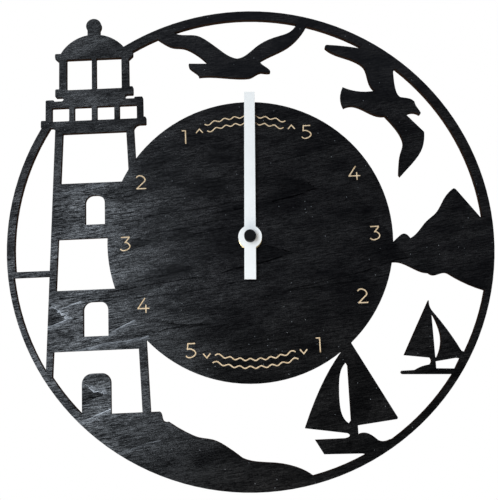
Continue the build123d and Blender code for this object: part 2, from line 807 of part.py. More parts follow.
# Levels of the setting knob
knob_back = knob_recess
knob_front = knob_back + knob_thickness
well_floor_back = knob_front + knob_recess
well_floor_front = well_floor_back + knob_well_wall
well_radius = knob_radius + knob_recess

# Levels of the stepping motor and circuit
stator_level = coil_axis_level - stator_thickness / 2
stator_face = stator_level + stator_thickness
board_back = rear_cover_thickness + board_stand_off
board_front = board_back + board_thickness

# Places in the movement: the case is as large as the cell, the knob's well, the board and the coil need
well_outer = well_radius + knob_well_wall
cell_half_length = (cell_length + cell_nub_height) / 2
core_left = rotor_place[0] + stator_arm / 2
core_right = core_left + coil_length + 2 * (bobbin_flange + stator_arm / 2)
stator_room = post_inset + post_radius + cover_clearance
cavity_half = max(
    cell_half_length + cell_end_room,
    knob_place[0] + well_outer + case_room,
    core_right + stator_arm + stator_room,
)
case_half = cavity_half + case_wall
coil_level = rotor_place[1] + coil_rise
cavity_high = coil_level + bobbin_flange_radius + coil_top_room
case_high = cavity_high + case_wall
board_right = cavity_half - board_side_room
board_left = board_right - board_width
board_top = knob_place[1] - well_outer - board_top_room
board_foot = board_top - board_height
bay_wall_high = board_foot - board_gap
bay_wall_low = bay_wall_high - bay_wall
cell_axis_y = bay_wall_low - cell_clearance - cell_radius
cell_axis_z = case_front_inside - cell_clearance - cell_radius
cavity_low = cell_axis_y - cell_radius - cell_clearance
case_low = cavity_low - case_wall
post_x = cavity_half - post_inset
post_top_y = cavity_high - post_inset
post_low_y = bay_wall_high + post_inset + post_radius / 2
hanger_hole_y = case_high + hanger_hole_level
board_post_places = [
    (board_left + board_width * share, (board_foot + board_top) / 2)
    for share in (board_post_share, 1 - board_post_share)
]


def train_wheel(teeth, pinion_teeth, phase, place, level):
    """Wheel with its pinion one layer nearer the motor's output, on one arbor between the plates."""
    wheel = gear(teeth, going_module, level, level + wheel_thickness, place, phase)
    pinion_low = level + layer_pitch - pinion_overhang
    pinion_high = level + layer_pitch + wheel_thickness + pinion_overhang
    pinion = gear(pinion_teeth, going_module, pinion_low, pinion_high, place, phase)
    arbor = disc(arbor_radius, arbor_low, arbor_high, place)
    hub = disc(going_module * (pinion_teeth / 2 - dedendum), level, pinion_high, place)
    return wheel + pinion + hub + arbor


def third_wheel():
    return train_wheel(third_teeth, third_pinion_teeth, third_phase, third_place, third_level)


def fourth_wheel():
    return train_wheel(fourth_teeth, fourth_pinion_teeth, fourth_phase, fourth_place, fourth_level)


def fifth_wheel():
    return train_wheel(fifth_teeth, fifth_pinion_teeth, fifth_phase, fifth_place, fifth_level)


def centre_wheel():
    hub_top = centre_top + centre_hub_height
    body = gear(centre_teeth, going_module, centre_level, centre_top, arbor_place, centre_phase)
    body += disc(centre_hub_radius, centre_top, hub_top)
    return body - disc(cannon_rear_radius + running_clearance, centre_level, hub_top)


def friction_spring():
    """Washer with three arms that grips the arbor under the centre wheel."""
    inner = cannon_rear_radius + running_clearance
    plan = Circle(friction_spring_radius) - Circle(inner)
    for index in range(3):
        plan -= Rot(0, 0, 120 * index) * Pos(friction_spring_radius, 0) * Circle(friction_spring_radius / 4)
    return prism(plan, centre_level - friction_spring_thickness, centre_level)


def rotor_pinion():
    low = fifth_level - pinion_overhang
    high = fifth_level + wheel_thickness + pinion_overhang
    pinion = gear(rotor_teeth, going_module, low, high, rotor_place, rotor_phase)
    hub = disc(going_module * (rotor_teeth / 2 - dedendum), low, magnet_level, rotor_place)
    return pinion + hub + disc(arbor_radius, arbor_low, arbor_high, rotor_place)


def rotor_magnet():
    bore = arbor_radius + fit_clearance
    return tube(magnet_radius, bore, magnet_level, magnet_level + magnet_height, rotor_place)


def hour_wheel():
    wheel = gear(hour_teeth, motion_module, hour_level, hour_top, arbor_place, hour_phase)
    body = wheel + disc(hour_tube_radius, hour_level, hour_tube_end)
    return body - disc(hour_tube_radius - hour_tube_wall, hour_level, hour_tube_end)


def cannon_pinion():
    pinion = gear(cannon_teeth, motion_module, cannon_level, cannon_top, arbor_place, cannon_phase)
    front_radius = hour_tube_radius - hour_tube_wall - running_clearance
    rear = disc(cannon_rear_radius, arbor_low, cannon_level)
    return pinion + rear + disc(front_radius, cannon_level, hour_tube_end - hand_thickness)


def minute_wheel():
    wheel = gear(minute_teeth, motion_module, minute_level, minute_top, minute_place, minute_phase)
    pinion_top = hour_top + pinion_overhang
    pinion = gear(minute_pinion_teeth, motion_module, minute_top, pinion_top, minute_place, minute_phase)
    return wheel + pinion + disc(arbor_radius, minute_arbor_low, minute_arbor_high, minute_place)


def set_knob():
    body = disc(knob_radius, knob_back, knob_front, knob_place)
    for index in range(knob_grips):
        grip = step_from(knob_place, knob_radius, 360 * index / knob_grips)
        body -= disc(knob_grip_radius, knob_back, knob_front, grip)
    body += disc(knob_stem_radius, knob_front, cannon_level, knob_place)
    return body + gear(knob_teeth, motion_module, cannon_level, cannon_top, knob_place, knob_phase)


# Movement shells
def post_places():
    return [(side * post_x, level) for side in (-1, 1) for level in (post_low_y, post_top_y)]


def latch_places():
    """Middles of the four latches that hold the rear cover in the case's walls."""
    middle = (bay_wall_high + cavity_high) / 2
    half = (cavity_high - bay_wall_high) / 2
    return [(side * cavity_half, middle + end * half / 2) for side in (-1, 1) for end in (-1, 1)]


def front_case():
    middle = Pos(0, (case_low + case_high) / 2)
    shell = RectangleRounded(2 * case_half, case_high - case_low, case_corner)
    body = prism(middle * shell, 0, case_depth)
    body -= block(-cavity_half, cavity_half, cavity_low, cavity_high, 0, case_front_inside)
    partition_half = cavity_half - bay_end_gap
    body += block(-partition_half, partition_half, bay_wall_low, bay_wall_high, 0, case_front_inside)
    for place in post_places():
        body += disc(post_radius, middle_plate_front, case_front_inside, place)
    for x, y in latch_places():
        reach = latch_reach + cover_clearance
        slot_half = latch_width / 2 + cover_clearance
        slot_high = rear_cover_thickness + cover_clearance
        body -= block(x - reach, x + reach, y - slot_half, y + slot_half, 0, slot_high)
    body -= disc(bushing_seat_radius + fit_clearance, case_front_inside, case_depth)
    minute_seat = minute_arbor_high + fit_clearance
    body -= disc(arbor_radius + running_clearance, case_front_inside, minute_seat, minute_place)
    tab = slab(-hanger_width / 2, hanger_width / 2, cavity_high, case_high + hanger_height)
    tab = fillet(tab.vertices().group_by(Axis.Y)[-1], case_corner)
    tab -= Pos(0, hanger_hole_y) * Circle(hanger_hole_radius)
    slot_top = hanger_hole_y + hanger_slot_length - hanger_slot_width / 2
    tab -= slab(-hanger_slot_width / 2, hanger_slot_width / 2, hanger_hole_y, slot_top)
    tab -= Pos(0, slot_top) * Circle(hanger_slot_width / 2)
    return body + prism(tab, 0, hanger_thickness)


def pivot_places():
    return (third_place, fourth_place, fifth_place, rotor_place)


def middle_plate():
    edge = cavity_half - cover_clearance
    low = bay_wall_high + cover_clearance
    high = cavity_high - cover_clearance
    body = block(-edge, edge, low, high, middle_plate_level, middle_plate_front)
    holes = [(place, arbor_radius) for place in pivot_places() + (minute_place,)]
    holes += [(arbor_place, cannon_rear_radius), (knob_place, knob_stem_radius)]
    for place, radius in holes:
        body -= disc(radius + running_clearance, middle_plate_level, middle_plate_front, place)
    return body


def rear_cover():
    edge = cavity_half - cover_clearance
    low = bay_wall_high + cover_clearance
    high = cavity_high - cover_clearance
    body = block(-edge, edge, low, high, 0, rear_cover_thickness)
    for x, y in latch_places():
        inner = edge - latch_width
        outer = cavity_half + latch_reach
        sides = (inner, outer) if x > 0 else (-outer, -inner)
        latch_low = rear_cover_thickness - latch_height
        body += block(*sides, y - latch_width / 2, y + latch_width / 2, latch_low, rear_cover_thickness)
    for place in post_places():
        body += disc(post_radius, rear_cover_thickness, middle_plate_level, place)
    for place in board_post_places:
        body += disc(board_post_radius, rear_cover_thickness, board_back, place)
    for x in (core_left - stator_arm / 2, core_right + stator_arm / 2):
        body += disc(stator_arm / 2, rear_cover_thickness, stator_level, (x, coil_level))
    body += disc(well_outer, rear_cover_thickness, well_floor_front, knob_place)
    body -= disc(well_radius, 0, well_floor_back, knob_place)
    body -= disc(knob_stem_radius + running_clearance, well_floor_back, well_floor_front, knob_place)
    pivot_floor = arbor_low - running_clearance
    for place in pivot_places():
        body -= disc(arbor_radius + running_clearance, pivot_floor, rear_cover_thickness, place)
    return body - disc(cannon_rear_radius + running_clearance, pivot_floor, rear_cover_thickness)


# Stepping motor
def stator():
    """Flat iron yoke: a ring round the rotor with an arm to each end of the coil's core."""
    ring = magnet_radius + rotor_gap + stator_ring
    half = stator_arm / 2
    x, y = rotor_place
    plan = Pos(x, y) * Circle(ring)
    plan += slab(core_left - stator_arm, core_left, y, coil_level + half)
    plan += slab(x, core_right + stator_arm, y - half, y + half)
    plan += slab(core_right, core_right + stator_arm, y - half, coil_level + half)
    plan -= Pos(x, y) * Circle(magnet_radius + rotor_gap)
    return prism(plan, stator_level, stator_face)


def coil_core():
    half = stator_arm / 2
    return block(core_left, core_right, coil_level - half, coil_level + half, stator_level, stator_face)


def along_core(section, x_low, x_high):
    """Extrude a section, drawn round the core's axis, along the core."""
    plane = Plane(origin=(x_low, coil_level, coil_axis_level), x_dir=(0, 1, 0), z_dir=(1, 0, 0))
    return extrude(plane * section, amount=x_high - x_low)


bobbin_bore = (stator_arm + 2 * running_clearance, stator_thickness + 2 * running_clearance)
bobbin_barrel = (bobbin_bore[0] + 2 * bobbin_wall, bobbin_bore[1] + 2 * bobbin_wall)
winding_left = core_left + stator_arm / 2 + bobbin_flange
winding_right = winding_left + coil_length - 2 * bobbin_flange


def coil_bobbin():
    bore = Rectangle(*bobbin_bore)
    body = along_core(Rectangle(*bobbin_barrel) - bore, winding_left, winding_right)
    flange = Circle(bobbin_flange_radius) - bore
    body += along_core(flange, winding_left - bobbin_flange, winding_left)
    return body + along_core(flange, winding_right, winding_right + bobbin_flange)


def coil_winding():
    hole = Rectangle(bobbin_barrel[0] + 2 * fit_clearance, bobbin_barrel[1] + 2 * fit_clearance)
    ends = fit_clearance
    return along_core(Circle(coil_radius) - hole, winding_left + ends, winding_right - ends)


# Circuit
def circuit_board():
    return block(board_left, board_right, board_foot, board_top, board_back, board_front)


def chip():
    x = board_left + board_width / 3
    half = chip_size / 2
    y = board_top - chip_margin - half
    body = block(x - half, x + half, y - half, y + half, board_front, board_front + chip_height)
    return chamfer(body.edges().group_by(Axis.Z)[-1], chip_height / 3)


def quartz_crystal():
    """Crystal's can, lying on the board."""
    x = board_left + (board_width - crystal_length) / 2
    y = board_top - chip_margin - chip_size - crystal_gap - crystal_radius
    z = board_front + crystal_radius + running_clearance
    plane = Plane(origin=(x, y, z), x_dir=(0, 1, 0), z_dir=(1, 0, 0))
    return extrude(plane * Circle(crystal_radius), amount=crystal_length)


# Cell and contacts
cell_left = -cell_half_length
contact_outer = cavity_half - contact_clearance
contact_inner = contact_outer - contact_thickness
strip_low = bay_wall_high + contact_clearance
strip_high = strip_low + contact_thickness
strip_top = board_front + contact_strip_height
foot_end = board_foot + contact_foot_width
foot_front = board_front + contact_thickness


def end_plate(side):
    """Contact plate at one end of the bay, with a dimple towards the cell and a leg past the bay's wall."""
    half = contact_width / 2
    low = cell_axis_z - contact_height / 2
    high = cell_axis_z + contact_height / 2
    leg_low = min(low, board_front)
    x_low, x_high = sorted((side * contact_inner, side * contact_outer))
    plate = block(x_low, x_high, cell_axis_y - half, cell_axis_y + half, leg_low, high)
    plate += block(x_low, x_high, cell_axis_y, strip_high, leg_low, strip_top)
    reach = contact_inner + cell_left - contact_clearance
    origin = (side * contact_inner, cell_axis_y, cell_axis_z)
    dimple = Plane(origin=origin, x_dir=(0, 1, 0), z_dir=(-side, 0, 0)) * Circle(contact_dimple_radius)
    return plate + extrude(dimple, amount=reach)


def positive_contact():
    strip_left = board_right - contact_foot_width
    body = end_plate(1) + block(strip_left, contact_outer, strip_low, strip_high, board_front, strip_top)
    return body + block(strip_left, board_right, strip_low, foot_end, board_front, foot_front)


def negative_contact():
    strip_right = board_left + contact_foot_width
    body = end_plate(-1) + block(-contact_outer, strip_right, strip_low, strip_high, board_front, strip_top)
    return body + block(board_left, strip_right, strip_low, foot_end, board_front, foot_front)


def battery_cell():
    plane = Plane(origin=(cell_left, cell_axis_y, cell_axis_z), x_dir=(0, 1, 0), z_dir=(1, 0, 0))
    body = extrude(plane * Circle(cell_radius), amount=cell_length)
    body = fillet(body.edges(), cell_nub_height / 2)
    nub = extrude(plane * Circle(cell_nub_radius), amount=cell_length + cell_nub_height)
    return body + nub


pieces = {
    "front_panel": front_panel(),
    "hand_blade": hand_blade(),
    "hand_bush": hand_bush(),
    "shaft_cap": shaft_cap(),
    "dial_washer": dial_washer(),
    "dial_nut": dial_nut(),
    "threaded_bushing": threaded_bushing(),
    "rubber_gasket": rubber_gasket(),
    "front_case": front_case(),
    "middle_plate": middle_plate(),
    "rear_cover": rear_cover(),
    "hour_wheel": hour_wheel(),
    "minute_wheel": minute_wheel(),
    "cannon_pinion": cannon_pinion(),
    "set_knob": set_knob(),
    "centre_wheel": centre_wheel(),
    "friction_spring": friction_spring(),
    "third_wheel": third_wheel(),
    "fourth_wheel": fourth_wheel(),
    "fifth_wheel": fifth_wheel(),
    "rotor_pinion": rotor_pinion(),
    "rotor_magnet": rotor_magnet(),
    "stator": stator(),
    "coil_core": coil_core(),
    "coil_bobbin": coil_bobbin(),
    "coil_winding": coil_winding(),
    "circuit_board": circuit_board(),
    "chip": chip(),
    "quartz_crystal": quartz_crystal(),
    "positive_contact": positive_contact(),
    "negative_contact": negative_contact(),
    "battery_cell": battery_cell(),
}

# Stand the clock up: bench y becomes +Z, the dial faces -Y, the hanger hole is at the origin.
hung = Location((0, 0, -hanger_hole_y), (90, 0, 0))

os.makedirs("parts", exist_ok=True)
for name, shape in pieces.items():
    export_step(hung * shape, f"parts/{name}.step")
    print(name, round(shape.volume, 1))

# Axes of the turning pieces on the finished clock
for name, place in (("minute", minute_place), ("knob", knob_place), ("third", third_place),
                    ("fourth", fourth_place), ("fifth", fifth_place), ("rotor", rotor_place)):
    print(name, "axis x", round(place[0], 4), "z", round(place[1] - hanger_hole_y, 4))
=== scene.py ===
"""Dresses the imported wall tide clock, lights it softly and frames it from just below the dial's middle."""

import json
import logging
import math
from dataclasses import dataclass
from enum import Enum
from typing import Any, Iterable, Sequence, Union

import bmesh
import bpy
from mathutils import Euler, Matrix, Vector

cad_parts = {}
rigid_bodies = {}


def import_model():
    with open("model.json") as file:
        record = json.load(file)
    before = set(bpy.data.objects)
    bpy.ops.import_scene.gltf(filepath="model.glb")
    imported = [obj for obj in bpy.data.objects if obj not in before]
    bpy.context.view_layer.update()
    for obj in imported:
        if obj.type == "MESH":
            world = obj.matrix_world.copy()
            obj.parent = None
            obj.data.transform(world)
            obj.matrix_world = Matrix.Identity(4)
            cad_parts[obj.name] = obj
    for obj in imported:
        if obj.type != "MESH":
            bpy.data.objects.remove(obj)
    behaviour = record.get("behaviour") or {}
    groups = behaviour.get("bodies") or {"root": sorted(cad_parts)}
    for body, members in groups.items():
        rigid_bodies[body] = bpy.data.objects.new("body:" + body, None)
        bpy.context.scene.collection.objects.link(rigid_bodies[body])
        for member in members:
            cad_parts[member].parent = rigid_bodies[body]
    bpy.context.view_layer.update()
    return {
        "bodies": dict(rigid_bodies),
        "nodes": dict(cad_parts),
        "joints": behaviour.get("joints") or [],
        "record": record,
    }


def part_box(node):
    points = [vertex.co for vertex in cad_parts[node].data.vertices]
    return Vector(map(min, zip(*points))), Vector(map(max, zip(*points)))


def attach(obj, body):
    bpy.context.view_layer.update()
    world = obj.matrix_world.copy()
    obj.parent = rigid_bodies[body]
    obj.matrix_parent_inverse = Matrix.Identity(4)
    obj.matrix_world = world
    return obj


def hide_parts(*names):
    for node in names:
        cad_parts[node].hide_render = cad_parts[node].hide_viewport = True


LOG = logging.getLogger("tide_clock")
MM = 0.001
TO_MM = (1000, 1000, 1000)
DIAL_LEVEL = -33.9921
MERGE_DISTANCE = 0.0005 * MM
FLAT_ANGLE = math.radians(0.4)
SHARP_ANGLE = math.radians(30)
SMOOTH_ANGLE = math.radians(32)
LOOKS_ALONG = 0.99
DAYLIGHT = (0.81, 0.90, 1.0)

Socket = bpy.types.NodeSocket
Signal = Union[float, Socket]
Colour = tuple[float, float, float]
Span = tuple[float, float]
Triple = tuple[float, float, float]
Step = tuple[float, ...]
Profile = Sequence[tuple[float, float]]


class Slot(Enum):
    """Finishes that the record names."""

    PLY = "stained_ply"
    HAND = "hand_lacquer"
    CAP = "cap_plastic"
    BRASS = "brass"
    GASKET = "gasket_rubber"
    CASE = "case_plastic"
    PLATE = "plate_plastic"
    GEAR = "gear_plastic"
    SPRING = "spring_steel"
    MAGNET = "magnet"
    BOBBIN = "bobbin_plastic"
    WIRE = "copper_wire"
    BOARD = "board_laminate"
    CHIP = "chip_resin"
    CRYSTAL = "crystal_can"
    CONTACT = "contact_plate"
    CELL = "cell_sleeve"


class Axis(Enum):
    """Directions that a turned piece stands in."""

    FRONT = (0.0, -1.0, 0.0)
    RIGHT = (1.0, 0.0, 0.0)


class Calc(Enum):
    """Sums that a finish makes from its patterns."""

    TAKE = "SUBTRACT"
    TIMES = "MULTIPLY"
    TIMES_ADD = "MULTIPLY_ADD"
    MOST = "MAXIMUM"
    SIZE = "ABSOLUTE"
    ABOVE = "GREATER_THAN"
    BELOW = "LESS_THAN"


class Graph:
    """Node builder for one material, with a Principled shader at its end."""

    def __init__(self, name: str) -> None:
        """Start a material of that name with bare nodes."""
        self.material = bpy.data.materials.new(name)
        self.material.use_nodes = True
        self.tree = self.material.node_tree
        self.tree.nodes.clear()
        self.output = self.tree.nodes.new("ShaderNodeOutputMaterial")
        self.shader = self.tree.nodes.new("ShaderNodeBsdfPrincipled")
        self.tree.links.new(self.shader.outputs[0], self.output.inputs[0])
        self.place = self.tree.nodes.new("ShaderNodeTexCoord")

    @property
    def points(self) -> Socket:
        """Points of the piece in the clock's own frame, in metres."""
        return self.place.outputs["Object"]

    @property
    def normals(self) -> Socket:
        """Directions that the piece's faces look in, in the clock's own frame."""
        return self.place.outputs["Normal"]

    def feed(self, socket: Socket, value: Union[Signal, Sequence[float]]) -> None:
        """Link a signal to a socket, or set a constant on it.

        Args:
            socket: The input that takes the value.
            value: Another node's output, a number or a colour.
        """
        if isinstance(value, bpy.types.NodeSocket):
            self.tree.links.new(value, socket)
        elif isinstance(value, (int, float)):
            socket.default_value = value
        else:
            numbers = tuple(value)
            full = len(socket.default_value)
            socket.default_value = numbers + (1.0,) * (full - len(numbers))

    def calc(self, sum_of: Calc, a: Signal, b: Signal = 0.0, c: Signal = 0.0) -> Socket:
        """Work out one sum.

        Args:
            sum_of: Which sum it is.
            a: First value.
            b: Second value.
            c: Third value, of a product and a sum.

        Returns:
            The result's socket.
        """
        node = self.tree.nodes.new("ShaderNodeMath")
        node.operation = sum_of.value
        for socket, value in zip(node.inputs, (a, b, c)):
            self.feed(socket, value)
        return node.outputs[0]

    def product(self, first: Socket, *others: Signal) -> Socket:
        """Multiply signals."""
        for other in others:
            first = self.calc(Calc.TIMES, first, other)
        return first

    def swing(self, value: Socket, reach: float, about: Signal) -> Socket:
        """Move a signal by a noise pattern.

        Args:
            value: Noise between 0 and 1.
            reach: Swing from the pattern's lowest to its highest.
            about: What is moved.

        Returns:
            The moved signal's socket.
        """
        return self.calc(Calc.TIMES_ADD, self.calc(Calc.TAKE, value, 0.5), reach, about)

    def ease(self, value: Signal, low: float, high: float, start: float = 0.0, end: float = 1.0) -> Socket:
        """Turn a value between two limits into a smooth step.

        Args:
            value: What is measured.
            low: Where the step starts.
            high: Where the step ends.
            start: Result at and before the start.
            end: Result at and past the end.

        Returns:
            The step's socket.
        """
        node = self.tree.nodes.new("ShaderNodeMapRange")
        node.interpolation_type = "SMOOTHSTEP"
        # A smooth step never leaves its results, and a clamp would only lengthen the compiled shader.
        node.clamp = False
        for socket, number in zip(node.inputs, (value, low, high, start, end)):
            self.feed(socket, number)
        return node.outputs[0]

    def between(self, value: Signal, low: float, high: float, edge: float) -> Socket:
        """Mark a band of a value.

        Args:
            value: What is measured.
            low: Where the band starts.
            high: Where the band ends.
            edge: Half the width of its soft edges.

        Returns:
            The band's socket, 1 inside it and 0 outside.
        """
        rising = self.ease(value, low - edge, low + edge)
        return self.product(rising, self.ease(value, high - edge, high + edge, 1.0, 0.0))

    def mix(self, share: Signal, first: Union[Socket, Colour], second: Union[Socket, Colour]) -> Socket:
        """Blend two colours.

        Args:
            share: How much of the second colour shows.
            first: Colour at share 0.
            second: Colour at share 1.

        Returns:
            The blended colour's socket.
        """
        node = self.tree.nodes.new("ShaderNodeMix")
        node.data_type = "RGBA"
        self.feed(node.inputs[0], share)
        self.feed(node.inputs[6], first)
        self.feed(node.inputs[7], second)
        return node.outputs[2]

    def choose(self, share: Signal, first: Signal, second: Signal) -> Socket:
        """Blend two numbers."""
        node = self.tree.nodes.new("ShaderNodeMix")
        for socket, value in zip((node.inputs[0], node.inputs[2], node.inputs[3]), (share, first, second)):
            self.feed(socket, value)
        return node.outputs[0]

    def mapped(self, points: Socket, scale: Sequence[float] = (1, 1, 1), shift: Sequence[float] = (0, 0, 0),
               turn: float = 0.0) -> Socket:
        """Stretch, turn and shift points, the turn about the clock's front-to-back axis.

        Args:
            points: Points to map.
            scale: Stretch along each axis, before the turn.
            shift: Shift along each axis, after the turn.
            turn: Turn in degrees.

        Returns:
            The mapped points' socket.
        """
        node = self.tree.nodes.new("ShaderNodeMapping")
        self.tree.links.new(points, node.inputs[0])
        node.inputs["Location"].default_value = shift
        node.inputs["Rotation"].default_value = (0, math.radians(turn), 0)
        node.inputs["Scale"].default_value = scale
        return node.outputs[0]

    def noise(self, points: Socket, scale: float, detail: float = 2.0, rough: float = 0.5) -> Socket:
        """Cloudy pattern between 0 and 1.

        Args:
            points: Points that carry the pattern.
            scale: Clouds for each unit of the points.
            detail: Octaves of finer clouds.
            rough: Strength of the finer clouds.

        Returns:
            The pattern's socket.
        """
        node = self.tree.nodes.new("ShaderNodeTexNoise")
        for name, value in (("Vector", points), ("Scale", scale), ("Detail", detail), ("Roughness", rough)):
            self.feed(node.inputs[name], value)
        return node.outputs[0]

    def cells(self, points: Socket, scale: float) -> tuple[Socket, Socket]:
        """Scattered cell middles.

        Args:
            points: Points that carry the cells.
            scale: Cells for each unit of the points.

        Returns:
            Distance from the nearest middle, and a colour that differs from cell to cell.
        """
        node = self.tree.nodes.new("ShaderNodeTexVoronoi")
        self.feed(node.inputs["Vector"], points)
        self.feed(node.inputs["Scale"], scale)
        return node.outputs["Distance"], node.outputs["Color"]

    def split(self, vector: Socket) -> tuple[Socket, Socket, Socket]:
        """Part a vector into its three numbers."""
        node = self.tree.nodes.new("ShaderNodeSeparateXYZ")
        self.tree.links.new(vector, node.inputs[0])
        return node.outputs[0], node.outputs[1], node.outputs[2]

    def join(self, *numbers: Signal) -> Socket:
        """Bring up to three numbers into one vector."""
        node = self.tree.nodes.new("ShaderNodeCombineXYZ")
        for socket, value in zip(node.inputs, numbers):
            self.feed(socket, value)
        return node.outputs[0]

    def most(self, first: Socket, second: Socket) -> Socket:
        """Keep the larger of each pair of numbers in two vectors."""
        node = self.tree.nodes.new("ShaderNodeVectorMath")
        node.operation = "MAXIMUM"
        self.tree.links.new(first, node.inputs[0])
        self.tree.links.new(second, node.inputs[1])
        return node.outputs["Vector"]

    def length(self, vector: Socket) -> Socket:
        """Measure a vector."""
        node = self.tree.nodes.new("ShaderNodeVectorMath")
        node.operation = "LENGTH"
        self.tree.links.new(vector, node.inputs[0])
        return node.outputs["Value"]

    def relief(self, height: Socket, depth: float) -> Socket:
        """Shading normal of a fine relief.

        Args:
            height: Height pattern between 0 and 1.
            depth: Height of 1 in metres.

        Returns:
            The normal's socket.
        """
        node = self.tree.nodes.new("ShaderNodeBump")
        self.feed(node.inputs["Height"], height)
        node.inputs["Distance"].default_value = depth
        node.inputs["Strength"].default_value = 1.0
        return node.outputs[0]

    def close(self, **sockets: Union[Signal, Sequence[float]]) -> bpy.types.Material:
        """Feed the shader's sockets, whose names have underscores for spaces.

        Args:
            sockets: Value of each socket.

        Returns:
            The finished material.
        """
        for name, value in sockets.items():
            self.feed(self.shader.inputs[name.replace("_", " ")], value)
        return self.material


@dataclass(frozen=True)
class GrowthFigure:
    """Pointed growth line of the veneer: a V that opens to the left of its tip, in millimetres."""

    x: float
    z: float
    upper: float
    lower: float
    reach: float
    ink: float
    # rim and crest: strength of the pale rim below and above the line, partly thin stain and partly painted
    # highlight
    rim: float = 0.0
    crest: float = 0.0


@dataclass(frozen=True)
class GrowthLine:
    """Thin dark growth line along the grain, from its left end to its right one, in millimetres."""

    x: float
    z: float
    length: float
    ink: float


@dataclass(frozen=True)
class Weave:
    """Cloudy pattern with so many clouds for each unit of its points along each axis."""

    clouds: Triple
    shift: Triple = (0, 0, 0)
    detail: float = 2.0
    rough: float = 0.5

    def lay(self, graph: Graph, points: Socket) -> Socket:
        """Lay the pattern.

        Args:
            graph: Graph that takes the nodes.
            points: Points that carry the pattern.

        Returns:
            The pattern's socket, between 0 and 1.
        """
        return graph.noise(graph.mapped(points, self.clouds, self.shift), 1.0, self.detail, self.rough)


@dataclass(frozen=True)
class GrainMap:
    """Patterns of the veneer's face, in millimetres along and across its grain."""

    ink: Socket
    rim: Socket
    shade: Socket
    dashes: Socket
    pores: Socket
    patch: Socket
    fibre: Socket
    hair: Socket
    grit: Socket


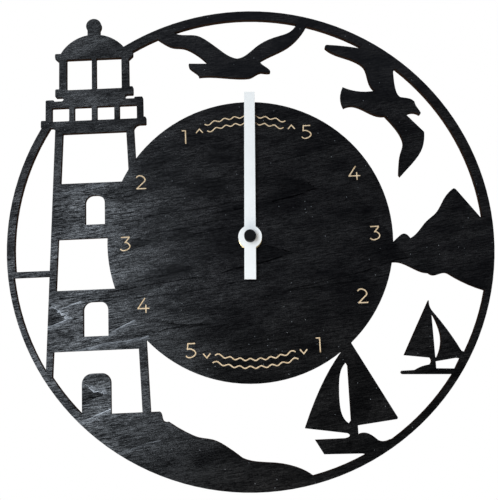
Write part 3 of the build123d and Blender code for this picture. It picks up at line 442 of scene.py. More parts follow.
@dataclass(frozen=True)
class StainedPly:
    """Black-stained veneer face, scorched cut edges, bare engraved floors and a raw back.

    The film is the sheen of the stain, and a step holds its limits and then its results. Levels and the
    grain's distances are in millimetres, and the steps across the whole panel in metres.
    """

    slot: Slot = Slot.PLY
    face_level: float = -21.0
    back_level: float = -18.0
    engraving_depth: float = 0.3
    grain_angle: float = 7.0
    stain: Colour = (0.0016, 0.0016, 0.0021)
    worn: Colour = (0.0040, 0.0043, 0.0054)
    pale: Colour = (0.0045, 0.0047, 0.0058)
    black: Colour = (0.0006, 0.0006, 0.0008)
    # Pale rim colour: partly thin stain, partly painted highlight where the left lamps' sheen falls
    thin: Colour = (0.155, 0.168, 0.190)
    dust: Colour = (0.20, 0.21, 0.22)
    bare: Colour = (0.74, 0.56, 0.36)
    bare_dark: Colour = (0.52, 0.36, 0.20)
    char: Colour = (0.010, 0.007, 0.006)
    core: Colour = (0.075, 0.036, 0.020)
    raw: Colour = (0.50, 0.36, 0.22)
    raw_dark: Colour = (0.33, 0.21, 0.11)
    soot: Colour = (0.10, 0.055, 0.025)
    film: float = 0.070
    film_on_fibres: float = 0.17
    coarse_film: float = 0.033
    coarse_film_on_fibres: float = 0.31
    film_on_rims: float = 0.75
    film_in_patches: Step = (0.32, 0.68, 0.55, 1.5)
    film_in_grit: Step = (0.3, 0.7, 0.4, 1.6)
    film_under_marks: Triple = (-0.95, -0.65, -0.75)
    film_gloss: float = 0.24
    coarse_side: Step = (-0.060, -0.095)
    coarse_level: Step = (0.016, -0.004)
    stained_roughness: float = 0.6
    bare_roughness: float = 0.75
    fibre_relief: float = 0.035
    fibre_height: float = 0.6
    hair_height: float = 0.5
    front_facing: Step = (-0.7, -0.5, 1.0, 0.0)
    back_facing: Step = (0.5, 0.7)
    wander: Weave = Weave((0.022, 0.05, 0.05))
    ripple: Weave = Weave((0.15, 0.3, 0.34), (7, 3, 1), 3.0, 0.6)
    jag: Weave = Weave((0.35, 0.6, 0.75), (11, 2, 6))
    across_swings: Triple = (7.0, 1.8, 0.9)
    along_swings: Span = (7.0, 4.0)
    fibre: Weave = Weave((0.09, 1.0, 1.2), detail=4.0, rough=0.65)
    hair: Weave = Weave((0.28, 2.0, 2.6), (31, 0, 17), 3.0, 0.6)
    patch: Weave = Weave((0.028, 0.05, 0.085), (4, 9, 2), 3.0)
    breaks: Weave = Weave((0.18, 0.3, 0.4), (2, 5, 8))
    grit: Weave = Weave((1.3, 1.8, 2.0), (5, 8, 3), 2.0, 0.6)
    hair_texture: Step = (0.36, 0.56, 0.2, 1.0)
    fibre_texture: Step = (0.34, 0.58, 0.3, 1.0)
    ink_breaks: Step = (0.34, 0.52, 0.2, 1.0)
    dash_hair: float = 0.55
    dash_fibre: float = 0.6
    dash_edge: Step = (0.50, 0.67)
    pore_hair: Step = (0.41, 0.33)
    pore_fibre: Step = (0.52, 0.40)
    reach_fade: float = 0.3
    tip_fade: Step = (-4.0, -1.0)
    flank_fade: Step = (3.0, 11.0, 1.0, 0.15)
    figure_edge: Span = (0.18, 0.62)
    # Steps of the pale rim inside each V, partly thin stain and partly painted highlight
    glow_start: Step = (-4.0, -0.6, 0.0, 0.4)
    glow_end: Step = (-0.5, 0.0, 1.0, 0.0)
    rim_band: Triple = (-0.8, -0.25, 0.15)
    rim_texture: Step = (0.0, 0.5, 0.3, 0.9)
    rim_fade: Step = (3.0, 14.0, 1.0, 0.35)
    shade_edge: Step = (0.0, 1.2)
    shade_fade: Span = (8.0, 34.0)
    line_edge: Span = (0.15, 0.55)
    line_blur: float = 6.0
    worn_patches: Step = (0.3, 0.7, 0.45, 1.0)
    top_stain: Step = (0.035, 0.075)
    right_stain: Step = (-0.070, -0.030)
    # Painted shade: the face darkens towards black towards the bottom
    painted_shade_low: Step = (-0.045, -0.125, 0.0, 0.95)
    shade_stain: float = 0.4
    pore_stain: float = 0.8
    speck_stretch: Triple = (1000, 60, 1000)
    specks_per_mm: float = 0.27
    speck_size: Step = (0.07, 0.04)
    speck_share: float = 0.55
    burn: Weave = Weave((550, 550, 550), detail=3.0)
    burn_edge: Step = (0.42, 0.75)
    scorch: Weave = Weave((900, 3500, 900), detail=3.0)
    ply_blur: float = 0.1
    outer_brown: float = 0.3
    back_lines: Weave = Weave((0.03, 1.0, 0.7), (3, 0, 5), 5.0, 0.6)
    back_edge: Step = (0.38, 0.68)
    smoke: Weave = Weave((45, 45, 45), detail=4.0)
    smoke_edge: Step = (0.56, 0.8, 0.0, 0.55)
    figures: tuple[GrowthFigure, ...] = (
        GrowthFigure(42.9, 29.2, 0.75, 0.085, 110, 1.0),
        GrowthFigure(25.9, -10.8, 0.45, 0.10, 80, 1.0),
        GrowthFigure(-56.0, -0.3, 0.35, 0.11, 60, 0.8),
        GrowthFigure(-35.2, -17.0, 0.25, 0.08, 70, 0.6),
        GrowthFigure(-39.4, -51.4, 0.30, 0.10, 90, 0.7),
        GrowthFigure(96.0, -17.0, 2.0, 0.095, 150, 0.8),
        GrowthFigure(58.0, 56.0, 0.5, 0.07, 90, 0.5),
        GrowthFigure(-113.3, -43.2, 0.94, 0.26, 26, 0.95, 0.9, 1.0),
        GrowthFigure(-106.0, -34.5, 0.30, 0.19, 16, 0.0, 0.7),
        GrowthFigure(-73.6, -48.1, 0.30, 0.26, 34, 0.7, 0.7),
        GrowthFigure(-30.0, -51.5, 0.20, 0.0, 160, 0.9),
        GrowthFigure(-66.0, -57.2, 0.40, 0.02, 66, 0.0, 0.95),
        GrowthFigure(-91.0, -90.5, 0.60, 0.30, 30, 0.9, 0.1, 1.0),
        GrowthFigure(-88.0, -99.5, 0.12, 0.26, 34, 0.3, 0.8),
        GrowthFigure(-92.0, 40.0, 0.30, 0.10, 60, 0.5, 0.3),
        GrowthFigure(-60.0, -118.0, 0.35, 0.12, 60, 0.5, 0.3),
        GrowthFigure(10.0, -132.0, 0.35, 0.10, 60, 0.5),
    )
    lines: tuple[GrowthLine, ...] = (
        GrowthLine(-86.0, 13.0, 82, 0.8),
        GrowthLine(-68.0, 5.5, 66, 0.6),
        GrowthLine(-57.0, 1.5, 56, 0.7),
        GrowthLine(-92.0, 17.5, 40, 0.6),
        GrowthLine(-60.0, 26.0, 34, 0.5),
        GrowthLine(-52.0, 36.0, 48, 0.4),
        GrowthLine(-84.0, -29.0, 62, 0.8),
        GrowthLine(-76.0, -35.0, 80, 0.6),
        GrowthLine(-122.0, -33.5, 60, 0.6),
        GrowthLine(-122.0, -53.5, 50, 0.5),
        GrowthLine(-122.0, 24.0, 60, 0.6),
        GrowthLine(-122.0, 16.0, 50, 0.5),
        GrowthLine(-110.0, -94.0, 24, 0.7),
        GrowthLine(-110.0, -97.0, 24, 0.6),
        GrowthLine(-100.0, -112.0, 60, 0.6),
        GrowthLine(-80.0, -122.0, 90, 0.5),
        GrowthLine(5.0, -36.0, 90, 0.6),
        GrowthLine(-40.0, -70.0, 80, 0.5),
    )

    def on_grain(self, x: float, z: float) -> Span:
        """Turn a place on the panel into distances along and across the grain.

        Args:
            x: Distance to the right of the dial's middle, in millimetres.
            z: Distance above it, in millimetres.

        Returns:
            Distance along the grain and distance across it, in millimetres.
        """
        turn = math.radians(self.grain_angle)
        return x * math.cos(turn) + z * math.sin(turn), z * math.cos(turn) - x * math.sin(turn)

    def figure_marks(self, graph: Graph, figure: GrowthFigure, along: Socket, across: Socket,
                     texture: Socket) -> Socket:
        """Draw one growth figure.

        Args:
            graph: Graph that takes the nodes.
            figure: The figure.
            along: Distance along the grain from the dial's middle, in millimetres.
            across: Distance across the grain, in millimetres.
            texture: Fibres that break up the painted highlight of the pale rim.

        Returns:
            Dark line, pale rim (partly thin stain, partly painted highlight) and shade behind the tip, in one
            vector.
        """
        tip_along, tip_across = self.on_grain(figure.x, figure.z)
        behind = graph.calc(Calc.TAKE, tip_along, along)
        rise = graph.calc(Calc.TAKE, across, tip_across)
        above = graph.calc(Calc.ABOVE, rise, 0.0)
        slope = graph.calc(Calc.TIMES_ADD, above, figure.upper - figure.lower, figure.lower)
        inside = graph.calc(Calc.TAKE, graph.product(behind, slope), graph.calc(Calc.SIZE, rise))
        fade = graph.product(graph.ease(behind, self.reach_fade * figure.reach, figure.reach, 1.0, 0.0),
                             graph.ease(behind, *self.tip_fade), graph.ease(rise, *self.flank_fade))
        off = graph.calc(Calc.SIZE, inside)
        ink = graph.product(graph.ease(off, *self.figure_edge, figure.ink, 0.0), fade)
        # Painted highlight, partly thin stain: a pale glow and a thin pale line inside the V, set by each
        # figure's rim and crest
        glow = graph.product(graph.ease(inside, *self.glow_start), graph.ease(inside, *self.glow_end),
                             texture)
        line = graph.product(graph.between(inside, *self.rim_band), graph.ease(texture, *self.rim_texture),
                             graph.ease(behind, *self.rim_fade))
        share = graph.calc(Calc.TIMES_ADD, above, figure.crest - figure.rim, figure.rim)
        rim = graph.product(graph.calc(Calc.MOST, glow, line), fade, share)
        shade = graph.product(graph.ease(inside, *self.shade_edge),
                              graph.ease(behind, *self.shade_fade, figure.ink, 0.0))
        return graph.join(ink, rim, shade)

    def line_mark(self, graph: Graph, line: GrowthLine, along: Socket, across: Socket) -> Socket:
        """Draw one growth line.

        Args:
            graph: Graph that takes the nodes.
            line: The line.
            along: Distance along the grain from the dial's middle, in millimetres.
            across: Distance across the grain, in millimetres.

        Returns:
            The dark line, as the first number of a vector.
        """
        start, level = self.on_grain(line.x, line.z)
        off = graph.calc(Calc.SIZE, graph.calc(Calc.TAKE, across, level))
        return graph.join(graph.product(graph.ease(off, *self.line_edge, line.ink, 0.0),
                                        graph.between(along, start, start + line.length, self.line_blur)))

    def grain(self, graph: Graph) -> GrainMap:
        """Lay the veneer's grain.

        Args:
            graph: Graph that takes the nodes.

        Returns:
            The grain's patterns.
        """
        points = graph.mapped(graph.points, TO_MM, (0, 0, -DIAL_LEVEL))
        points = graph.mapped(points, turn=self.grain_angle)
        bends = [weave.lay(graph, points) for weave in (self.wander, self.ripple, self.jag)]
        along, _, across = graph.split(points)
        for bend, reach in zip(bends, self.across_swings):
            across = graph.swing(bend, reach, across)
        for bend, reach in zip(bends[1:], self.along_swings):
            along = graph.swing(bend, reach, along)
        fibre = self.fibre.lay(graph, points)
        hair = self.hair.lay(graph, points)
        texture = graph.product(graph.ease(hair, *self.hair_texture), graph.ease(fibre, *self.fibre_texture))
        marks = graph.join()
        for figure in self.figures:
            marks = graph.most(marks, self.figure_marks(graph, figure, along, across, texture))
        for line in self.lines:
            marks = graph.most(marks, self.line_mark(graph, line, along, across))
        ink, rim, shade = graph.split(marks)
        patch = self.patch.lay(graph, points)
        broken = graph.ease(self.breaks.lay(graph, points), *self.ink_breaks)
        strands = graph.calc(Calc.TIMES_ADD, hair, self.dash_hair, graph.product(fibre, self.dash_fibre))
        dashes = graph.ease(strands, *self.dash_edge)
        pores = graph.product(graph.ease(hair, *self.pore_hair), graph.ease(fibre, *self.pore_fibre))
        grit = self.grit.lay(graph, points)
        return GrainMap(graph.product(ink, broken), rim, shade, dashes, pores, patch, fibre, hair, grit)

    def face(self, graph: Graph, grain: GrainMap) -> Socket:
        """Colour the stained face, with painted highlight on the pale rims and painted shade towards the
        bottom.

        Args:
            graph: Graph that takes the nodes.
            grain: The veneer's patterns.

        Returns:
            The face's colour.
        """
        far, kind = graph.cells(graph.mapped(graph.points, self.speck_stretch), self.specks_per_mm)
        speck = graph.product(graph.ease(far, *self.speck_size),
                              graph.calc(Calc.BELOW, graph.split(kind)[0], self.speck_share))
        wear = graph.product(grain.dashes, graph.ease(grain.patch, *self.worn_patches))
        colour = graph.mix(wear, self.stain, self.worn)
        side, _, level = graph.split(graph.points)
        top_right = graph.product(graph.ease(level, *self.top_stain), graph.ease(side, *self.right_stain))
        colour = graph.mix(top_right, colour, self.pale)
        # Painted shade: darker towards the bottom
        colour = graph.mix(graph.ease(level, *self.painted_shade_low), colour, self.black)
        colour = graph.mix(graph.product(grain.shade, self.shade_stain), colour, self.black)
        colour = graph.mix(graph.product(grain.pores, self.pore_stain), colour, self.black)
        # Pale rims: partly thin stain, partly painted highlight
        colour = graph.mix(grain.rim, colour, self.thin)
        colour = graph.mix(grain.ink, colour, self.black)
        return graph.mix(speck, colour, self.dust)

    def engraved(self, graph: Graph) -> Socket:
        """Colour the bare floor of the engraving, browned here and there."""
        burn = self.burn.lay(graph, graph.points)
        return graph.mix(graph.ease(burn, *self.burn_edge), self.bare, self.bare_dark)

    def cut_edge(self, graph: Graph, depth: Socket) -> Socket:
        """Colour the scorched cut, with the middle ply browner than the faces.

        Args:
            graph: Graph that takes the nodes.
            depth: Distance from the wall, in metres.

        Returns:
            The cut's colour.
        """
        third = (self.back_level - self.face_level) / 3
        middle = graph.between(depth, (self.face_level + third) * MM, (self.back_level - third) * MM,
                               self.ply_blur * MM)
        brown = graph.calc(Calc.TIMES_ADD, middle, 1 - self.outer_brown, self.outer_brown)
        streaked = graph.product(brown, self.scorch.lay(graph, graph.points))
        return graph.mix(streaked, self.char, self.core)

    def back(self, graph: Graph) -> Socket:
        """Colour the raw back, with its grain and a little soot from the cutting."""
        points = graph.mapped(graph.points, TO_MM, turn=self.grain_angle)
        lines = self.back_lines.lay(graph, points)
        smoke = self.smoke.lay(graph, graph.points)
        colour = graph.mix(graph.ease(lines, *self.back_edge), self.raw, self.raw_dark)
        return graph.mix(graph.ease(smoke, *self.smoke_edge), colour, self.soot)

    def material(self) -> bpy.types.Material:
        """Make the panel's material.

        Returns:
            The finished material.
        """
        graph = Graph(self.slot.value)
        facing = graph.split(graph.normals)[1]
        side, depth, level = graph.split(graph.points)
        grain = self.grain(graph)
        sunk = graph.calc(Calc.ABOVE, depth, (self.face_level + self.engraving_depth / 2) * MM)
        front = graph.ease(facing, *self.front_facing)
        colour = graph.mix(sunk, self.face(graph, grain), self.engraved(graph))
        colour = graph.mix(front, self.cut_edge(graph, depth), colour)
        colour = graph.mix(graph.ease(facing, *self.back_facing), colour, self.back(graph))
        stained = graph.product(front, graph.calc(Calc.TAKE, 1.0, sunk))
        coarse = graph.product(graph.ease(side, *self.coarse_side), graph.ease(level, *self.coarse_level))
        on_fibres = graph.choose(coarse, self.film_on_fibres, self.coarse_film_on_fibres)
        film = graph.choose(coarse, self.film, self.coarse_film)
        film = graph.calc(Calc.TIMES_ADD, grain.dashes, on_fibres, film)
        film = graph.product(film, graph.ease(grain.patch, *self.film_in_patches),
                             graph.ease(grain.grit, *self.film_in_grit))
        film = graph.calc(Calc.TIMES_ADD, grain.rim, self.film_on_rims, film)
        for mark, change in zip((grain.ink, grain.shade, grain.pores), self.film_under_marks):
            film = graph.product(film, graph.calc(Calc.TIMES_ADD, mark, change, 1.0))
        height = graph.calc(Calc.TIMES_ADD, grain.fibre, self.fibre_height,
                            graph.product(grain.hair, self.hair_height))
        relief = graph.relief(height, self.fibre_relief * MM)
        return graph.close(
            Base_Color=colour,
            Roughness=graph.choose(stained, self.bare_roughness, self.stained_roughness),
            Normal=relief,
            Specular_IOR_Level=0.0,
            Coat_Weight=graph.product(film, stained),
            Coat_Roughness=self.film_gloss,
            Coat_Normal=relief,
        )


@dataclass(frozen=True)
class MouldedPlastic:
    """Injection-moulded plastic with a fine spark-eroded or satin texture, its grain in millimetres."""

    slot: Slot
    colour: Colour
    grain: float
    depth: float
    roughness: float
    level: float
    grain_detail: float = 3.0
    grain_rough: float = 0.6
    clouds: float = 90.0
    cloud_edge: Step = (0.35, 0.7)
    dark_share: float = 0.8
    gloss_edge: Span = (0.3, 0.7)
    gloss_swing: Span = (-0.05, 0.07)

    def material(self) -> bpy.types.Material:
        """Make the plastic's material.

        Returns:
            The finished material.
        """
        graph = Graph(self.slot.value)
        fine = graph.noise(graph.points, 1 / (self.grain * MM), self.grain_detail, self.grain_rough)
        cloud = graph.noise(graph.points, self.clouds)
        dark = tuple(self.dark_share * part for part in self.colour)
        colour = graph.mix(graph.ease(cloud, *self.cloud_edge), self.colour, dark)
        limits = [self.roughness + swing for swing in self.gloss_swing]
        rough = graph.ease(cloud, *self.gloss_edge, *limits)
        return graph.close(Base_Color=colour, Roughness=rough, Normal=graph.relief(fine, self.depth * MM),
                           Specular_IOR_Level=self.level)


@dataclass(frozen=True)
class WorkedMetal:
    """Turned, stamped or plated metal with fine tool lines and handling marks."""

    slot: Slot
    colour: Colour
    tarnish: Colour
    roughness: float = 0.28
    lines: Triple = (300.0, 6000.0, 300.0)
    line_detail: float = 3.0
    line_swing: float = 0.16
    line_depth: float = 0.004
    clouds: float = 260.0
    cloud_detail: float = 3.0
    cloud_edge: Step = (0.45, 0.75)

    def material(self) -> bpy.types.Material:
        """Make the metal's material.

        Returns:
            The finished material.
        """
        graph = Graph(self.slot.value)
        tool = Weave(self.lines, detail=self.line_detail).lay(graph, graph.points)
        cloud = graph.noise(graph.points, self.clouds, self.cloud_detail)
        colour = graph.mix(graph.ease(cloud, *self.cloud_edge), self.colour, self.tarnish)
        rough = graph.swing(tool, self.line_swing, self.roughness)
        return graph.close(Base_Color=colour, Roughness=rough, Metallic=1.0,
                           Normal=graph.relief(tool, self.line_depth * MM))


@dataclass(frozen=True)
class Lacquer:
    """White lacquer on thin sheet, faintly orange-peeled."""

    slot: Slot = Slot.HAND
    colour: Colour = (0.77, 0.755, 0.725)
    shade: Colour = (0.75, 0.735, 0.705)
    level: float = 0.4
    peel: float = 900.0
    peel_depth: float = 0.01
    clouds: float = 70.0
    cloud_edge: Step = (0.4, 0.7)
    gloss: Step = (0.3, 0.7, 0.34, 0.44)

    def material(self) -> bpy.types.Material:
        """Make the lacquer's material.

        Returns:
            The finished material.
        """
        graph = Graph(self.slot.value)
        peel = graph.noise(graph.points, self.peel)
        cloud = graph.noise(graph.points, self.clouds)
        colour = graph.mix(graph.ease(cloud, *self.cloud_edge), self.colour, self.shade)
        return graph.close(Base_Color=colour, Roughness=graph.ease(cloud, *self.gloss),
                           Normal=graph.relief(peel, self.peel_depth * MM), Specular_IOR_Level=self.level)


@dataclass(frozen=True)
class CellSleeve:
    """Plain film round a bare steel cell, with a pale band at its positive end."""

    slot: Slot = Slot.CELL
    axis_y: float = -8.3
    axis_z: float = -56.0
    across: Triple = (0, 1000, 1000)
    sleeve_radius: float = 6.6
    sleeve_blur: float = 0.1
    band_from: float = 13.5
    band_blur: float = 0.05
    film: Colour = (0.022, 0.040, 0.075)
    band: Colour = (0.42, 0.43, 0.44)
    steel: Colour = (0.62, 0.62, 0.63)
    scuffed: Colour = (0.16, 0.17, 0.19)
    scuffs: Weave = Weave((300, 1800, 1800), detail=4.0)
    scuff_edge: Step = (0.62, 0.8, 0.0, 0.5)
    gloss: Step = (0.35, 0.75, 0.24, 0.42)
    level: float = 0.5

    def material(self) -> bpy.types.Material:
        """Make the cell's material.

        Returns:
            The finished material.
        """
        graph = Graph(self.slot.value)
        flat = graph.mapped(graph.points, self.across, (0, -self.axis_y, -self.axis_z))
        covered = graph.ease(graph.length(flat), self.sleeve_radius - self.sleeve_blur,
                             self.sleeve_radius + self.sleeve_blur)
        along = graph.split(graph.points)[0]
        banded = graph.ease(along, (self.band_from - self.band_blur) * MM,
                            (self.band_from + self.band_blur) * MM)
        scuff = self.scuffs.lay(graph, graph.points)
        film = graph.mix(banded, self.film, self.band)
        film = graph.mix(graph.ease(scuff, *self.scuff_edge), film, self.scuffed)
        return graph.close(
            Base_Color=graph.mix(covered, self.steel, film),
            Roughness=graph.ease(scuff, *self.gloss),
            Metallic=graph.calc(Calc.TAKE, 1.0, covered),
            Specular_IOR_Level=self.level,
        )


FINISHES = {finish.slot: finish for finish in (
    StainedPly(),
    Lacquer(),
    MouldedPlastic(Slot.CAP, (0.0022, 0.0022, 0.0026), 0.5, 0.004, 0.42, 0.045),
    WorkedMetal(Slot.BRASS, (0.84, 0.67, 0.36), (0.62, 0.45, 0.20)),
    MouldedPlastic(Slot.GASKET, (0.02, 0.02, 0.02), 0.25, 0.02, 0.75, 0.3),
    MouldedPlastic(Slot.CASE, (0.022, 0.022, 0.024), 0.3, 0.02, 0.48, 0.35),
    MouldedPlastic(Slot.PLATE, (0.72, 0.71, 0.66), 0.5, 0.006, 0.5, 0.4),
    MouldedPlastic(Slot.GEAR, (0.80, 0.79, 0.74), 0.4, 0.005, 0.42, 0.4),
    WorkedMetal(Slot.SPRING, (0.56, 0.56, 0.57), (0.40, 0.39, 0.38)),
    MouldedPlastic(Slot.MAGNET, (0.05, 0.05, 0.055), 0.2, 0.02, 0.6, 0.5),
    MouldedPlastic(Slot.BOBBIN, (0.05, 0.05, 0.06), 0.4, 0.006, 0.5, 0.4),
    WorkedMetal(Slot.WIRE, (0.74, 0.34, 0.14), (0.50, 0.20, 0.08), 0.3, (9000.0, 300.0, 300.0)),
    MouldedPlastic(Slot.BOARD, (0.03, 0.14, 0.06), 0.6, 0.01, 0.4, 0.5),
    MouldedPlastic(Slot.CHIP, (0.012, 0.012, 0.014), 0.2, 0.015, 0.55, 0.4),
    WorkedMetal(Slot.CRYSTAL, (0.66, 0.66, 0.68), (0.52, 0.51, 0.50), 0.2),
    WorkedMetal(Slot.CONTACT, (0.68, 0.66, 0.60), (0.52, 0.49, 0.43)),
    CellSleeve(),
)}


class Form:
    """Mesh of a new piece, in metres in the clock's frame."""

    def __init__(self) -> None:
        """Start with nothing."""
        self.mesh = bmesh.new()

    @classmethod
    def of_solid(cls, solid: bpy.types.Object) -> "Form":
        """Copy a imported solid, with its loose triangles merged into whole faces.

        Args:
            solid: The node's object.

        Returns:
            The copy.
        """
        form = cls()
        form.mesh.from_mesh(solid.data)
        bmesh.ops.remove_doubles(form.mesh, verts=form.mesh.verts, dist=MERGE_DISTANCE)
        bmesh.ops.dissolve_limit(form.mesh, angle_limit=FLAT_ANGLE, verts=form.mesh.verts,
                                 edges=form.mesh.edges)
        return form

    @classmethod
    def turned(cls, profile: Profile, middle: Vector, axis: Axis, facets: int,
               closed: bool = False) -> "Form":
        """Spin a profile into a turned piece.

        Args:
            profile: Radius and level of each corner, in millimetres.
            middle: Point of the axis at level 0.
            axis: Direction in which the levels grow.
            facets: Facets round the piece.
            closed: Whether the last corner joins the first, as in a bored piece.

        Returns:
            The turned piece.
        """
        form = cls()
        along = Vector(axis.value)
        out = along.orthogonal().normalized()
        corners = [form.mesh.verts.new(middle + (out * radius + along * level) * MM)
                   for radius, level in profile]
        pairs = list(zip(corners, corners[1:])) + ([(corners[-1], corners[0])] if closed else [])
        edges = [form.mesh.edges.new(pair) for pair in pairs]
        bmesh.ops.spin(form.mesh, geom=corners + edges, cent=middle, axis=along, angle=math.tau, steps=facets,
                       use_merge=True)
        bmesh.ops.remove_doubles(form.mesh, verts=form.mesh.verts, dist=MERGE_DISTANCE)
        bmesh.ops.recalc_face_normals(form.mesh, faces=form.mesh.faces)
        return form

    def soften(self, width: float, segments: int) -> "Form":
        """Round the sharp edges.

        Args:
            width: Width of the rounding, in millimetres.
            segments: Facets across it.

        Returns:
            This piece.
        """
        sharp = [edge for edge in self.mesh.edges
                 if edge.is_manifold and edge.calc_face_angle() > SHARP_ANGLE]
        bmesh.ops.bevel(self.mesh, geom=sharp, offset=width * MM, offset_type="OFFSET", segments=segments,
                        profile=0.5, affect="EDGES", material=-1, clamp_overlap=True)
        return self

    def dish(self, axis: Axis, rim: float, depth: float) -> None:
        """Sink the end face that looks along an axis, inside a narrow rim.

        Args:
            axis: Direction that the face looks in.
            rim: Width of the rim, in millimetres.
            depth: How far the face sinks, in millimetres.
        """
        along = Vector(axis.value)
        end = max((face for face in self.mesh.faces if face.normal.dot(along) > LOOKS_ALONG),
                  key=lambda face: (round(face.calc_center_median().dot(along), 6), face.calc_area()))
        bmesh.ops.inset_individual(self.mesh, faces=[end], thickness=rim * MM, depth=-depth * MM)


@dataclass
class Wardrobe:
    """Finishes of the clock, made once each and given to the pieces that wear them."""

    frame: dict[str, Any]

    def __post_init__(self) -> None:
        """Look up the finish of each node."""
        self.slots = {row["node"]: Slot(row["material_slot"]) for row in self.frame["record"]["subparts"]}
        self.made: dict[Slot, bpy.types.Material] = {}

    def finish(self, slot: Slot) -> bpy.types.Material:
        """Give the material of a slot, made at its first use."""
        if slot not in self.made:
            self.made[slot] = FINISHES[slot].material()
        return self.made[slot]

    def solid(self, node: str) -> bpy.types.Object:
        """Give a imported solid's object."""
        return self.frame["nodes"][node]

    def middle(self, node: str) -> Vector:
        """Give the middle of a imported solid's box."""
        low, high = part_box(node)
        return (Vector(low) + Vector(high)) / 2

    def rounded(self, node: str, width: float, segments: int = 2) -> Form:
        """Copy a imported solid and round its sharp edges.

        Args:
            node: Node to copy.
            width: Width of the rounding, in millimetres.
            segments: Facets across it.

        Returns:
            The copy.
        """
        return Form.of_solid(self.solid(node)).soften(width, segments)

    def dress(self, nodes: Iterable[str]) -> None:
        """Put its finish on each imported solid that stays.

        Args:
            nodes: Nodes to dress.
        """
        for node in nodes:
            mesh = self.solid(node).data
            mesh.materials.clear()
            mesh.materials.append(self.finish(self.slots[node]))
            LOG.info("dressed %s in %s", node, self.slots[node].value)

    def hang(self, form: Form, name: str, body: str, node: str) -> None:
        """Make a piece of a form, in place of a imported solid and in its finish.

        Args:
            form: The piece's mesh.
            name: The piece's name.
            body: Body that it moves with.
            node: Node that it stands for.
        """
        slot = self.slots[node]
        mesh = bpy.data.meshes.new(name)
        form.mesh.to_mesh(mesh)
        form.mesh.free()
        mesh.materials.append(self.finish(slot))
        mesh.shade_smooth()
        mesh.set_sharp_from_angle(angle=SMOOTH_ANGLE)
        piece = bpy.data.objects.new(name, mesh)
        bpy.context.scene.collection.objects.link(piece)
        piece.modifiers.new("even_faces", "WEIGHTED_NORMAL").keep_sharp = True
        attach(piece, body)
        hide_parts(node)
        LOG.info("made %s for %s, %d faces", name, node, len(mesh.polygons))

    def hang_rounded(self, pieces: Iterable[tuple[str, str, float]], body: str) -> None:
        """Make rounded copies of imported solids.

        Args:
            pieces: Node, name and width of the rounding of each piece, in millimetres.
            body: Body that they move with.
        """
        for node, name, width in pieces:
            self.hang(self.rounded(node, width), name, body, node)


@dataclass
class Assembly:
    """Sub-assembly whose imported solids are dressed, after the pieces that it makes itself."""

    wardrobe: Wardrobe
    body: str = "frame"
    nodes: tuple[str, ...] = ()

    def build(self) -> None:
        """Dress the solids that stay."""
        self.wardrobe.dress(self.nodes)


@dataclass
class Fretwork(Assembly):
    """Cut panel with the ring, the dial, the lighthouse and the figures."""

    nodes: tuple[str, ...] = ("front_panel",)


@dataclass
class Hand(Assembly):
    """White hand on its collar and wheel tube, under the cap."""

    body: str = "hand"
    nodes: tuple[str, ...] = ("hand_bush", "hour_wheel")
    blade_edge: float = 0.12
    cap_edge: float = 0.22
    cap_segments: int = 3
    cap_rim: float = 0.55
    cap_sink: float = 0.12

    def build(self) -> None:
        """Soften the blade, dish the cap and dress what stays."""
        self.wardrobe.hang_rounded([("hand_blade", "baton_hand", self.blade_edge)], self.body)
        cap = self.wardrobe.rounded("shaft_cap", self.cap_edge, self.cap_segments)
        cap.dish(Axis.FRONT, self.cap_rim, self.cap_sink)
        self.wardrobe.hang(cap, "arbor_cap", self.body, "shaft_cap")
        super().build()


@dataclass
class CentreFittings(Assembly):
    """Washer, nut, threaded bushing and gasket that hold the movement to the panel."""

    washer_edge: float = 0.14
    nut_edge: float = 0.25
    gasket_edge: float = 0.2
    bore: float = 2.55
    seat_radius: float = 4.6
    seat_level: float = 15.8
    case_level: float = 17.0
    flange_radius: float = 5.5
    flange_level: float = 17.8
    thread_radius: float = 4.0
    thread_root: float = 3.58
    thread_pitch: float = 0.75
    thread_end: float = 25.0
    facets: int = 72

    def bushing(self) -> Form:
        """Turn the bushing with its thread's crests and roots.

        Returns:
            The bushing.
        """
        profile = [(self.bore, self.seat_level), (self.seat_radius, self.seat_level),
                   (self.seat_radius, self.case_level), (self.flange_radius, self.case_level),
                   (self.flange_radius, self.flange_level), (self.thread_root, self.flange_level)]
        level = self.flange_level
        while level + self.thread_pitch < self.thread_end:
            profile.append((self.thread_radius, level + self.thread_pitch / 2))
            level += self.thread_pitch
            profile.append((self.thread_root, level))
        profile += [(self.thread_root, self.thread_end), (self.bore, self.thread_end)]
        middle = Vector((0, 0, DIAL_LEVEL * MM))
        return Form.turned(profile, middle, Axis.FRONT, self.facets, closed=True)

    def build(self) -> None:
        """Round the washer, nut and gasket, and cut the thread."""
        pieces = (("dial_washer", "brass_washer", self.washer_edge),
                  ("dial_nut", "hexagon_nut", self.nut_edge),
                  ("rubber_gasket", "gasket_ring", self.gasket_edge))
        self.wardrobe.hang_rounded(pieces, self.body)
        self.wardrobe.hang(self.bushing(), "screwed_bushing", self.body, "threaded_bushing")


@dataclass
class MovementCase(Assembly):
    """Front case with its hanger, the plate between the trains and the rear cover."""

    nodes: tuple[str, ...] = ("middle_plate",)
    case_edge: float = 0.3
    cover_edge: float = 0.15

    def build(self) -> None:
        """Round the moulded edges and dress the plate."""
        pieces = (("front_case", "moulded_case", self.case_edge),
                  ("rear_cover", "latched_cover", self.cover_edge))
        self.wardrobe.hang_rounded(pieces, self.body)
        super().build()


